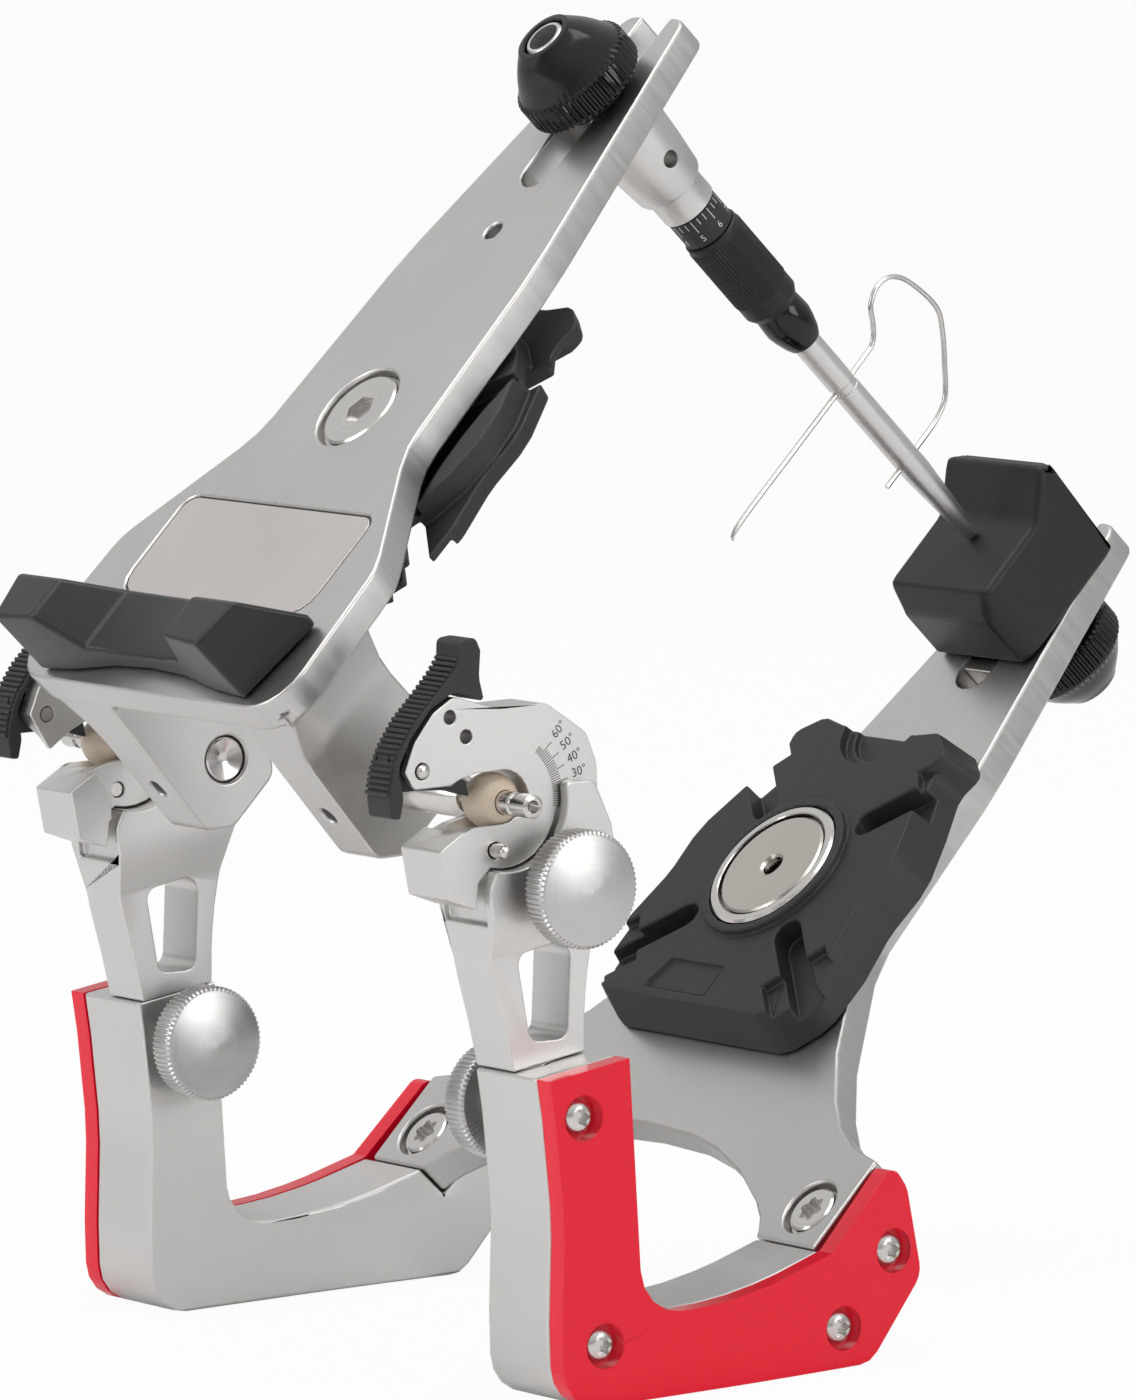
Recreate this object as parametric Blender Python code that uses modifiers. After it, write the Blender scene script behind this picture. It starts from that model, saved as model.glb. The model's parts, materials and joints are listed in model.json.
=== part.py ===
"""Dental articulator, standing on the long edges of its two side arms.

Units are metres and +Z is up. +X runs along the condyle axis to the right-hand arm and +Y towards the incisal
pin. The sizes below are in millimetres. Three frames are used, all with their origin on the condyle axis:
the stand frame (upright), the plate frame (turned by PLATE_TILT, so its Y runs along the two frame plates and
its Z along their normal) and the post frame (turned by POST_LEAN, so its Z is the swivel axis of a post).
"""
import math

import bmesh
import bpy
from mathutils import Matrix, Vector

MM = 0.001
GAP = 0.3  # clearance between pieces that touch or run in each other
OVER = 1.0  # how far a cutter reaches past the face it opens

# Driving sizes
CONDYLE_X = 55.0  # half the distance between the two condyle balls
PLATE_TILT = 44.25  # both frame plates to the floor, degrees
POST_LEAN = 8.0  # swivel axis to the vertical, degrees
UPPER_TOP = 31.4  # condyle axis to the upper plate's top face
UPPER_THICK = 5.6
LOWER_TOP = -93.9  # condyle axis to the lower plate's top face
LOWER_THICK = 6.0
FLOOR_Z = -95.8  # condyle axis to the arms' bottom edges
PLATE_FRONT = 136.0
PLATE_REAR = -10.5
LEG_REAR = -13.9
LEG_FRONT = 4.4
LEG_INNER_X = CONDYLE_X - 8.1
LEG_OUTER_X = CONDYLE_X + 7.3
FORK_REAR = 98.6
FORK_HALF = 3.8
PIN_Y = 118.2  # incisal pin axis, along the plates
MOUNT_Y = 51.0  # centre of both mounting plates
MOUNT_HEIGHT = 8.4
MOUNT_DRAFT = 0.95  # share of its outline that a mounting plate keeps at its working side

ARM_INNER_X = CONDYLE_X - 6.5
ARM_OUTER_X = CONDYLE_X + 10.0
COVER_OUTER_X = CONDYLE_X + 14.0
ARM_TURN_START = 25.0  # the arms' sides turn inwards in front of this
ARM_TURN_RATE = 0.0011
POST_FOOT_Z = -42.7  # post frame: underside of the post
POST_INNER_X = CONDYLE_X - 9.0
POST_OUTER_X = CONDYLE_X + 5.8
SHAFT_INNER_X = CONDYLE_X - 7.0
SHAFT_OUTER_X = CONDYLE_X + 3.2
SPIGOT_R = 3.2
SPIGOT_LENGTH = 13.0

BALL_R = 4.5
TRACK_R = 4.8
DISC_R = 10.5
DISC_INNER_X = CONDYLE_X - 5.4
DISC_OUTER_X = CONDYLE_X + 3.4
FLAG_INNER_X = CONDYLE_X - 0.1
BLOCK_INNER_X = CONDYLE_X - 7.5
EAR_INNER_X = 19.6
EAR_OUTER_X = 29.6
AXLE_NECK_R = 1.9
AXLE_R = 3.4
AXLE_HEAD_R = 3.6
STUD_END_X = CONDYLE_X + 12.0
LEVER_INNER_X = CONDYLE_X - 3.2
WEB_INNER_X = CONDYLE_X - 1.7
WEB_OUTER_X = CONDYLE_X + 1.7
LEVER_PIN = (-15.1, 6.2)
LEVER_PIN_R = 1.2

KNOB_R = 9.5
KNOB_HUB_R = 4.5
KNOB_BAND = 4.8
KNOB_CONE = 1.6
CLAMP_STEM_R = 2.4
DISC_KNOB = (7.4, -15.1)  # post frame
DISC_KNOB_HUB = 2.2
SWIVEL_KNOB = (9.4, -50.0)  # stand frame
SWIVEL_KNOB_HUB = 3.7

NECK_R = 3.5
ROD_R = 2.45
ROD_TIP_R = 1.25
HOLDER_R = 7.2
RING_R = 4.65
SLEEVE_R = 5.2
NUT_R = 4.3
RING_TOP = 4.9
SLEEVE_TOP = -0.9
NUT_TOP = -19.6
NUT_END = -28.2
BLACK_KNOB_R = 10.6
WIRE_R = 0.45
WIRE_UPPER = -39.4
WIRE_LOWER = -58.2
TABLE_HEIGHT = 16.2
TABLE_RAMP = 5.8
TABLE_HALF = 13.3
TABLE_REAR = 104.3
TABLE_FRONT = 131.5

MAGNET_R = 12.6
MAGNET_DISC_R = 10.4
SCREW_HEAD_R = 2.6
SCREW_BORE_R = 3.7
LEG_SCREW = (CONDYLE_X - 0.5, -6.4)
LEG_SCREW_R = 4.3
CENTRE_SCREW_R = 7.3
COVER_SCREWS = ((6.6, -49.6), (9.7, -86.2), (57.4, -89.4), (68.4, -78.2))

ROUND = 24  # sides of a large round piece
SMALL_ROUND = 12


def clear_scene():
    for obj in list(bpy.data.objects):
        bpy.data.objects.remove(obj, do_unlink=True)


def new_collection(name):
    made = bpy.data.collections.new(name)
    bpy.context.scene.collection.children.link(made)
    return made


def new_material(name, colour, roughness, metallic=0.0):
    made = bpy.data.materials.new(name)
    made.use_nodes = True
    shader = made.node_tree.nodes["Principled BSDF"]
    shader.inputs["Base Color"].default_value = (*colour, 1.0)
    shader.inputs["Roughness"].default_value = roughness
    shader.inputs["Metallic"].default_value = metallic
    return made


clear_scene()
PARTS = new_collection("dental_articulator")
CUTTERS = new_collection("cutters")
SATIN = new_material("satin_aluminium", (0.62, 0.61, 0.59), 0.38, 0.9)
STEEL = new_material("polished_steel", (0.66, 0.65, 0.63), 0.2, 1.0)
RED = new_material("red_cover", (0.78, 0.02, 0.05), 0.18)
BLACK = new_material("black_plastic", (0.03, 0.03, 0.032), 0.5)
GLOSS_BLACK = new_material("gloss_black", (0.012, 0.012, 0.012), 0.15)
CREAM = new_material("cream_ball", (0.75, 0.66, 0.54), 0.4)


# Frames: empties that carry the pieces


def new_frame(name, parent=None, location=(0, 0, 0), tilt=0.0):
    made = bpy.data.objects.new(name, None)
    PARTS.objects.link(made)
    made.parent = parent
    made.location = Vector(location) * MM
    made.rotation_euler.x = math.radians(tilt)
    made.empty_display_size = 0.01
    return made


STAND = new_frame("stand_frame")
PLATES = new_frame("plate_frame", STAND, tilt=PLATE_TILT)


def plate_to_stand(y, z):
    """A point of the plate frame's YZ plane, in the stand frame."""
    turned = Matrix.Rotation(math.radians(PLATE_TILT), 2) @ Vector((y, z))
    return turned.x, turned.y


# Outlines, in millimetres


def rounded(corners, step=20.0):
    """A closed outline from corners (u, v, radius), each rounded by an arc with a point every step degrees."""
    points = []
    for i, (u, v, radius) in enumerate(corners):
        corner = Vector((u, v))
        before = Vector(corners[i - 1][:2]) - corner
        after = Vector(corners[(i + 1) % len(corners)][:2]) - corner
        half = before.angle(after) / 2
        if radius == 0 or half > math.radians(88):
            points.append((u, v))
            continue
        reach = min(radius / math.tan(half), 0.48 * before.length, 0.48 * after.length)
        radius = reach * math.tan(half)
        centre = corner + (before.normalized() + after.normalized()).normalized() * radius / math.sin(half)
        start = corner + before.normalized() * reach - centre
        turn = math.copysign(math.pi - 2 * half, after.cross(before))
        count = max(1, round(abs(math.degrees(turn)) / step))
        for k in range(count + 1):
            spoke = Matrix.Rotation(turn * k / count, 2) @ start
            points.append(tuple(centre + spoke))
    return points


def arc(centre, radius, start, end, count):
    """Points along an arc from start to end, in degrees."""
    angles = [math.radians(start + (end - start) * k / count) for k in range(count + 1)]
    return [(centre[0] + radius * math.cos(a), centre[1] + radius * math.sin(a)) for a in angles]


def mirrored(half):
    """A whole outline from its right half, listed from the rear middle round to the front middle."""
    return half + [(-u, *rest) for u, *rest in reversed(half)]


# Meshes, made in millimetres and returned in metres


def finish_mesh(made, across="z"):
    """Welds a raw mesh and turns it, so that its flat outline lies in XY or, across x, in YZ."""
    shape = bmesh.new()
    shape.from_mesh(made)
    bmesh.ops.remove_doubles(shape, verts=shape.verts, dist=1e-6)
    if across == "x":
        bmesh.ops.transform(shape, matrix=Matrix(((0, 0, 1, 0), (1, 0, 0, 0), (0, 1, 0, 0), (0, 0, 0, 1))), verts=shape.verts)
    if across == "y":
        bmesh.ops.transform(shape, matrix=Matrix(((0, 1, 0, 0), (0, 0, 1, 0), (1, 0, 0, 0), (0, 0, 0, 1))), verts=shape.verts)
    bmesh.ops.recalc_face_normals(shape, faces=shape.faces)
    shape.to_mesh(made)
    shape.free()
    return made


def evaluated_mesh(data, modify=None):
    """The mesh that a curve or a mesh gives once its modifiers have run."""
    holder = bpy.data.objects.new("raw", data)
    bpy.context.scene.collection.objects.link(holder)
    if modify:
        modify(holder)
    graph = bpy.context.evaluated_depsgraph_get()
    made = bpy.data.meshes.new_from_object(holder.evaluated_get(graph))
    bpy.data.objects.remove(holder)
    return made


def slab(outline, low, high, across="z"):
    """A flat outline given thickness from low to high along z (outline in XY) or along x (outline in YZ)."""
    curve = bpy.data.curves.new("outline", "CURVE")
    curve.dimensions = "2D"
    curve.fill_mode = "BOTH"
    curve.extrude = abs(high - low) / 2 * MM
    line = curve.splines.new("POLY")
    line.points.add(len(outline) - 1)
    for point, (u, v) in zip(line.points, outline):
        point.co = (u * MM, v * MM, 0, 1)
    line.use_cyclic_u = True
    made = evaluated_mesh(curve)
    made.transform(Matrix.Translation((0, 0, (low + high) / 2 * MM)))
    return finish_mesh(made, across)


def rod(radius, low, high, centre=(0, 0), across="z", sides=SMALL_ROUND):
    """A cylinder from low to high along z, x or y, with its axis at the centre in the other two."""
    shape = bmesh.new()
    bmesh.ops.create_cone(
        shape, cap_ends=True, segments=sides, radius1=radius * MM, radius2=radius * MM, depth=abs(high - low) * MM
    )
    offset = Vector((centre[0], centre[1], (low + high) / 2)) * MM
    bmesh.ops.translate(shape, verts=shape.verts, vec=offset)
    made = bpy.data.meshes.new("rod")
    shape.to_mesh(made)
    shape.free()
    return finish_mesh(made, across)


def turned(profile, centre=(0, 0), across="z", sides=ROUND):
    """A turned piece from a closed profile of (radius, height), with its axis at the centre."""
    line = bpy.data.meshes.new("profile")
    points = [(r * MM, 0, h * MM) for r, h in profile]
    open_ended = profile[0][0] == 0 and profile[-1][0] == 0
    edges = [(i, i + 1) for i in range(len(points) - 1)]
    if not open_ended:
        edges.append((len(points) - 1, 0))
    line.from_pydata(points, edges, [])

    def spin(holder):
        screw = holder.modifiers.new("turn", "SCREW")
        screw.steps = sides
        screw.render_steps = sides
        screw.use_merge_vertices = True
        screw.merge_threshold = 0.00001

    made = evaluated_mesh(line, spin)
    made.transform(Matrix.Translation((centre[0] * MM, centre[1] * MM, 0)))
    return finish_mesh(made, across)


def ball(radius, centre, segments=16):
    shape = bmesh.new()
    bmesh.ops.create_uvsphere(shape, u_segments=segments, v_segments=segments // 2, radius=radius * MM)
    bmesh.ops.translate(shape, verts=shape.verts, vec=Vector(centre) * MM)
    made = bpy.data.meshes.new("ball")
    shape.to_mesh(made)
    shape.free()
    return made


def box(low, high):
    """A box between two corners."""
    shape = bmesh.new()
    bmesh.ops.create_cube(shape, size=1)
    size = (Vector(high) - Vector(low)) * MM
    middle = (Vector(high) + Vector(low)) / 2 * MM
    bmesh.ops.transform(shape, matrix=Matrix.Translation(middle) @ Matrix.Diagonal((*size, 1)), verts=shape.verts)
    made = bpy.data.meshes.new("box")
    shape.to_mesh(made)
    shape.free()
    return made


# Objects


def piece(name, mesh, parent, finish, smooth=30):
    made = bpy.data.objects.new(name, mesh)
    PARTS.objects.link(made)
    made.parent = parent
    mesh.materials.clear()
    mesh.materials.append(finish)
    mesh.shade_smooth()
    mesh.set_sharp_from_angle(angle=math.radians(smooth))
    return made


def boolean(obj, mesh, operation="DIFFERENCE"):
    """Cuts, joins or trims an object by a hidden one that shares its frame."""
    other = bpy.data.objects.new(f"{obj.name}_{operation.lower()}_{len(obj.modifiers)}", mesh)
    CUTTERS.objects.link(other)
    other.parent = obj.parent
    other.hide_render = True
    other.display_type = "WIRE"
    modifier = obj.modifiers.new(operation.lower(), "BOOLEAN")
    modifier.operation = operation
    modifier.object = other
    return obj


def soften(obj, width, segments=1):
    """Rounds an object's sharp edges."""
    bevel = obj.modifiers.new("soften", "BEVEL")
    bevel.width = width * MM
    bevel.segments = segments
    bevel.limit_method = "ANGLE"
    bevel.angle_limit = math.radians(50)
    return obj


def turn_inwards(mesh, side):
    """Leads an arm's or a cover's front end towards the middle, in steps along Y."""
    shape = bmesh.new()
    shape.from_mesh(mesh)
    for y in range(int(ARM_TURN_START) + 8, 76, 8):
        everything = shape.verts[:] + shape.edges[:] + shape.faces[:]
        bmesh.ops.bisect_plane(shape, geom=everything, plane_co=(0, y * MM, 0), plane_no=(0, 1, 0))
    for vertex in shape.verts:
        vertex.co.x -= side * inward(vertex.co.y / MM) * MM
    shape.to_mesh(mesh)
    shape.free()
    return mesh


def inward(y):
    """How far an arm's side lies inside its place at the post, at this distance in front of the axis."""
    return ARM_TURN_RATE * max(0.0, y - ARM_TURN_START) ** 2


# Upper frame


def fork_cutter(top, thick):
    """The open slot between a plate's prongs."""
    rear = FORK_REAR + FORK_HALF
    outline = arc((0, rear), FORK_HALF, -180, 0, 8)
    outline += [(FORK_HALF, PLATE_FRONT + OVER), (-FORK_HALF, PLATE_FRONT + OVER)]
    return slab(outline, top - thick - OVER, top + OVER)


def plate_outline(corners):
    """A whole frame plate, its fork still filled, from its right-hand corners, rear to front."""
    half = corners + [(18.7, 82.0, 60), (8.1, PLATE_FRONT, 3)]
    return rounded(mirrored(half))


def make_upper_frame():
    under = UPPER_TOP - UPPER_THICK
    outline = plate_outline([(38.6, PLATE_REAR, 8), (36.9, 19.5, 9), (21.1, 43.0, 14)])
    frame = piece("upper_frame", slab(outline, under, UPPER_TOP), PLATES, SATIN)
    ear_profile = rounded([(-8.3, under + 2, 0), (-11.2, -5.0, 3), (-7.0, -9.0, 2), (4.5, -9.0, 3), (12, 3, 4), (12, under + 2, 0)])
    for side in (1, -1):
        flare = [
            (EAR_INNER_X - 9, under + 2, 0),
            (EAR_INNER_X - 9, under - 0.8, 0),
            (EAR_INNER_X, under - 1, 9),
            (EAR_INNER_X, -12, 0),
            (EAR_OUTER_X, -12, 0),
            (EAR_OUTER_X + 0.6, 16, 8),
            (EAR_OUTER_X + 6, under - 0.8, 0),
            (EAR_OUTER_X + 6, under + 2, 0),
        ]
        front_view = slab([(side * u, v) for u, v in rounded(flare)], -14, 14)
        front_view.transform(Matrix(((1, 0, 0, 0), (0, 0, -1, 0), (0, 1, 0, 0), (0, 0, 0, 1))))
        inner, outer = sorted((side * (EAR_INNER_X - 10), side * (EAR_OUTER_X + 7)))
        ear = bpy.data.objects.new("ear_blank", slab(ear_profile, inner, outer, "x"))
        CUTTERS.objects.link(ear)
        ear.hide_render = True
        ear.parent = PLATES
        boolean(ear, front_view, "INTERSECT")
        bpy.context.view_layer.update()
        shape = bpy.data.meshes.new_from_object(ear.evaluated_get(bpy.context.evaluated_depsgraph_get()))
        bpy.data.objects.remove(ear)
        boolean(frame, shape, "UNION")
        stem = side * (EAR_INNER_X + 2.0)
        far = side * (EAR_OUTER_X + OVER + 2)
        boolean(frame, rod(2.6 + GAP, stem, far, across="x"))
        boolean(frame, rod(AXLE_HEAD_R + GAP, side * (EAR_INNER_X - OVER), side * (EAR_INNER_X + 2.2), across="x", sides=ROUND))
        boolean(frame, ear_hole(side))
    boolean(frame, fork_cutter(UPPER_TOP, UPPER_THICK))
    boolean(frame, slab(name_plate_outline(0), UPPER_TOP - 1.2, UPPER_TOP + OVER))
    boolean(frame, rod(CENTRE_SCREW_R + 0.9, UPPER_TOP - 2.4, UPPER_TOP + OVER, (0, MOUNT_Y - 0.6), sides=ROUND))
    boolean(frame, rod(3.3, under - OVER, UPPER_TOP, (0, MOUNT_Y - 0.6)))
    boolean(frame, rod(1.75, under - OVER, UPPER_TOP + OVER, (0, 88.8)))
    return frame


def ear_hole(side):
    """Blind hole in the rear face of an ear."""
    hole = rod(1.6, -16, -5)
    hole.transform(Matrix.Rotation(math.radians(-90), 4, "X"))
    middle = side * (EAR_INNER_X + EAR_OUTER_X) / 2
    hole.transform(Matrix.Translation((middle * MM, 0, 3.9 * MM)))
    return hole


def name_plate_outline(inset):
    left, rear, front = 26.8 - inset, 8.3 + inset, 29.3 - inset
    return rounded([(-left, rear, 5 - inset), (left, rear, 5 - inset), (left, front, 3 - inset), (-left, front, 3 - inset)])


def make_name_plate():
    plate = slab(name_plate_outline(GAP), UPPER_TOP - 1.2 + 0.02, UPPER_TOP - 0.2)
    return piece("name_plate", plate, PLATES, SATIN)


SADDLE_HORN = 13.2
SADDLE_WAIST = 5.0


def make_rest_saddle():
    """Black rest on the upper frame's rear edge: a low cradle with a horn at each end."""
    base = UPPER_TOP + GAP
    plan = [(-29.5, -9.1), (-20.5, -8.4), (-10.0, -6.6), (0, -6.1), (10.0, -6.6), (20.5, -8.4), (29.5, -9.1), (33.4, 7), (-33.4, 7)]
    saddle = piece("rest_saddle", slab(plan, base, base + SADDLE_HORN), PLATES, BLACK)
    cradle = [(-19.8, base + SADDLE_HORN + OVER), (-13.5, base + SADDLE_WAIST), (-7, base + 3.6), (0, base + 3.1)]
    cradle += [(-u, v) for u, v in reversed(cradle[:-1])]
    front_view = slab(cradle, -12, 12)
    front_view.transform(Matrix(((1, 0, 0, 0), (0, 0, -1, 0), (0, 1, 0, 0), (0, 0, 0, 1))))
    boolean(saddle, front_view)
    slope = [(-0.6, base + SADDLE_HORN + OVER), (7.4, base + 1.5), (12, base + 1.5), (12, base + SADDLE_HORN + OVER)]
    boolean(saddle, slab(slope, -40, 40, "x"))
    return saddle


# Mounting plates


def mounting_outline():
    """Scalloped outline of a mounting plate, about its own centre."""
    half = [
        (23.5, -30.5, 4),
        (29.6, -24.0, 4),
        (29.8, -14.0, 5),
        (27.8, -4.0, 9),
        (28.6, 6.0, 9),
        (24.6, 16.0, 6),
        (20.6, 24.5, 3),
        (22.0, 29.5, 2),
        (16.6, 33.5, 2),
        (10.5, 32.3, 3),
    ]
    return [(u, v + MOUNT_Y) for u, v in rounded(mirrored(half), 45)]


def mounting_plate(name, base, up):
    """A mounting plate with its back at the base and its working side up (+1) or down (-1)."""
    top = base + up * MOUNT_HEIGHT
    block = slab(mounting_outline(), base, top)
    for vertex in block.vertices:
        if abs(vertex.co.z - top * MM) < OVER * MM:
            vertex.co.x *= MOUNT_DRAFT
            vertex.co.y = MOUNT_Y * MM + (vertex.co.y - MOUNT_Y * MM) * MOUNT_DRAFT
    plate = piece(name, block, PLATES, BLACK)
    for angle in (40, 140, 220, 320):
        spoke = Matrix.Translation((0, MOUNT_Y * MM, 0)) @ Matrix.Rotation(math.radians(angle), 4, "Z")
        groove = slab(arc((18.5, 0), 2.6, 90, 270, 5) + [(44, -2.6), (44, 2.6)], top - up * 4.2, top + up * OVER)
        notch = slab([(28.5, -6.4), (44, -6.4), (44, 6.4), (28.5, 6.4)], top - up * 1.6, top + up * OVER)
        for cutter in (groove, notch):
            cutter.transform(spoke)
            boolean(plate, cutter)
    return plate


def make_upper_mounting_plate():
    base = UPPER_TOP - UPPER_THICK - GAP
    plate = mounting_plate("upper_mounting_plate", base, -1)
    rim, rib, reach = 2.4, 0.8, 24.6
    for quarter in range(4):
        cell = [(7.5, rib * 1.6), (reach - rim, reach * 0.62), (reach - rim, -reach * 0.62), (7.5, -rib * 1.6)]
        if quarter % 2:
            cell = [(8.5, rib * 1.6), (reach + 1.2, 14.6), (reach + 1.2, -14.6), (8.5, -rib * 1.6)]
        pocket = slab(cell, base - MOUNT_HEIGHT + 5.4, base + OVER)
        turn = Matrix.Rotation(math.radians(90 * quarter), 4, "Z")
        pocket.transform(Matrix.Translation((0, MOUNT_Y * MM, 0)) @ turn)
        boolean(plate, pocket)
    boolean(plate, rod(3.3, base - MOUNT_HEIGHT - OVER, base + OVER, (0, MOUNT_Y - 0.6)))
    rim_slope = [(26.4, base - 5.2), (26.4, base - 1.0), (17.5, base + OVER), (46, base + OVER), (46, base - 5.2)]
    boolean(plate, turned(list(reversed(rim_slope)), (0, MOUNT_Y), sides=ROUND))
    return plate


def make_lower_mounting_plate():
    base = LOWER_TOP + GAP
    plate = mounting_plate("lower_mounting_plate", base, 1)
    boss_top = base + MOUNT_HEIGHT + 1.2
    boolean(plate, rod(14.6, base + 1, boss_top, (0, MOUNT_Y), sides=ROUND), "UNION")
    boolean(plate, rod(MAGNET_R + GAP, boss_top - 5.0, boss_top + OVER, (0, MOUNT_Y), sides=ROUND))
    top = base + MOUNT_HEIGHT
    for radius, depth in ((9.2, 1.8), (7.4, 3.0)):
        boolean(plate, rod(radius, top - depth, top + OVER, (0, MOUNT_Y + 32.6), sides=ROUND))
    low, high = MOUNT_Y - 26.8, MOUNT_Y - 20.8
    boolean(plate, slab([(-11.5, low), (5.0, low), (5.0, high), (-9.5, high)], top - 0.5, top + OVER))
    return plate


def make_magnet():
    """Pot magnet in the lower mounting plate's boss: a steel cup round a disc with a screw through it."""
    seat = LOWER_TOP + GAP + MOUNT_HEIGHT + 1.2 - 5.0 + GAP
    top = seat + 4.9
    wall = MAGNET_DISC_R + 0.5
    cup = [(wall, top), (MAGNET_R, top - 0.3), (MAGNET_R, seat), (2.4, seat), (2.4, seat + 1.2), (wall, seat + 1.2)]
    piece("magnet_cup", turned(list(reversed(cup)), (0, MOUNT_Y)), PLATES, STEEL)
    disc = [(2.4, seat + 1.5), (MAGNET_DISC_R, seat + 1.5), (MAGNET_DISC_R, top - 0.1), (2.4, top - 0.1)]
    piece("magnet_disc", turned(disc, (0, MOUNT_Y)), PLATES, STEEL)
    head = seat + 2.6
    screw = [(0, seat + 0.1), (1.6, seat + 0.1), (1.6, head), (0, head)]
    piece("magnet_screw", turned(list(reversed(screw)), (0, MOUNT_Y), sides=SMALL_ROUND), PLATES, STEEL)


# Lower frame, arms and covers


def make_lower_frame():
    under = LOWER_TOP - LOWER_THICK
    corners = [
        (0.01, 3.2, 0),
        (18.0, 2.4, 30),
        (36.7, -4.4, 30),
        (45.6, -11.2, 6),
        (LEG_INNER_X, LEG_REAR, 0),
        (LEG_OUTER_X, LEG_REAR, 0),
        (LEG_OUTER_X, LEG_FRONT, 0),
        (51.4, 6.9, 16),
        (38.0, 18.0, 40),
        (21.2, 44.0, 14),
    ]
    frame = piece("lower_frame", slab(plate_outline(corners), under, LOWER_TOP), PLATES, SATIN)
    boolean(frame, fork_cutter(LOWER_TOP, LOWER_THICK))
    for side in (1, -1):
        seat = (side * LEG_SCREW[0], LEG_SCREW[1])
        boolean(frame, rod(LEG_SCREW_R + 0.9, LOWER_TOP - 2.6, LOWER_TOP + OVER, seat, sides=ROUND))
        boolean(frame, rod(2.6, under - OVER, LOWER_TOP, seat))
    return frame


def make_leg_screws():
    top = LOWER_TOP - 0.5
    head = [(0, top), (LEG_SCREW_R, top), (LEG_SCREW_R, top - 1.7), (2.1, top - 1.7), (2.1, top - 13), (0, top - 13)]
    for side, word in ((1, "right"), (-1, "left")):
        place = (side * LEG_SCREW[0], LEG_SCREW[1])
        screw = piece(f"leg_screw_{word}", turned(head, place, sides=20), PLATES, STEEL)
        boolean(screw, rod(1.7, top - 1.3, top + OVER, place, sides=6))


def arm_outline(seat_side):
    """Side view of an arm. With seat_side it has the step that the lower frame's leg lies on."""
    low_front = [(63.0, FLOOR_Z, 5), (74.4, -82.8, 4)]
    leg_top = plate_to_stand(LEG_REAR, LOWER_TOP)
    if seat_side:
        seat_y, seat_z = plate_to_stand(LEG_REAR - GAP, LOWER_TOP - LOWER_THICK - GAP)
        front = plate_to_stand(LEG_FRONT, LOWER_TOP - LOWER_THICK - GAP)
        step = [(*front, 0), (seat_y, seat_z, 0), (*plate_to_stand(LEG_REAR - GAP, LOWER_TOP), 0)]
    else:
        step = [(*plate_to_stand(3.6, -99), 3), (*plate_to_stand(LEG_FRONT, LOWER_TOP), 2), (*leg_top, 1)]
    leg = [(0.3, -43.2, 0), (1.2, -50, 20), (2.5, -66, 40), (1.6, -82, 40), (1.6, FLOOR_Z, 11)]
    inside = [(44.0, -80.3, 40), (33.0, -82.2, 40), (17.2, -82.6, 8), (16.4, -62, 40), (15.7, -41.04, 0)]
    return rounded(leg + low_front + step + inside)


def make_arm(side, word):
    low, high = sorted((side * ARM_INNER_X, side * ARM_OUTER_X))
    shape = turn_inwards(slab(arm_outline(True), low, high, "x"), side)
    arm = piece(f"arm_{word}", shape, STAND, SATIN)
    bore = rod(SPIGOT_R + GAP, POST_FOOT_Z + 3, POST_FOOT_Z - SPIGOT_LENGTH - GAP, sides=20)
    bore.transform(Matrix.Translation((side * CONDYLE_X * MM, 0, 0)) @ Matrix.Rotation(math.radians(POST_LEAN), 4, "X"))
    boolean(arm, bore)
    boolean(arm, rod(CLAMP_STEM_R + GAP, side * (ARM_INNER_X - OVER), side * (CONDYLE_X - SPIGOT_R - 0.2), SWIVEL_KNOB, "x"))
    hole = rod(2.1 + GAP, LOWER_TOP - 14, LOWER_TOP - 4, (side * LEG_SCREW[0], LEG_SCREW[1]))
    hole.transform(Matrix.Rotation(math.radians(PLATE_TILT), 4, "X"))
    boolean(arm, hole)
    return arm


def make_cover(side, word):
    low, high = sorted((side * (ARM_OUTER_X + GAP), side * COVER_OUTER_X))
    shape = turn_inwards(slab(arm_outline(False), low, high, "x"), side)
    cover = piece(f"arm_cover_{word}", shape, STAND, RED)
    soften(cover, 1.1)
    for number, (y, z) in enumerate(COVER_SCREWS, 1):
        face = COVER_OUTER_X - inward(y)
        seat = face - 2.3
        boolean(cover, rod(SCREW_BORE_R, side * seat, side * (face + 3), (y, z), "x", 16))
        profile = [(0, side * (seat + 1.7)), (1.9, side * (seat + 1.6)), (SCREW_HEAD_R, side * (seat + 1.0))]
        profile += [(SCREW_HEAD_R, side * (seat + GAP)), (0, side * (seat + GAP))]
        screw = piece(f"cover_screw_{word}_{number}", turned(profile, (y, z), "x", 14), STAND, STEEL)
        boolean(screw, rod(1.2, side * (seat + 0.9), side * (seat + 3), (y, z), "x", 6))
    return cover


# Posts, discs and levers


def post_outline():
    """Side view of a post in the post frame, its head still filled where the disc turns."""
    return rounded([
        (-5.0, POST_FOOT_Z, 0),
        (8.9, POST_FOOT_Z, 0),
        (10.1, -35.8, 30),
        (12.2, -28.3, 30),
        (17.2, -16.5, 12),
        (18.9, -9.5, 8),
        (16.2, 0.1, 1.5),
        (11.0, 0.9, 1),
        (8.0, -8.0, 0),
        (2.0, -9.6, 0),
        (-4.2, -9.6, 2),
        (-6.4, -13.0, 4),
        (-6.6, -25.8, 30),
        (-5.6, -34.6, 20),
    ])


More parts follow.
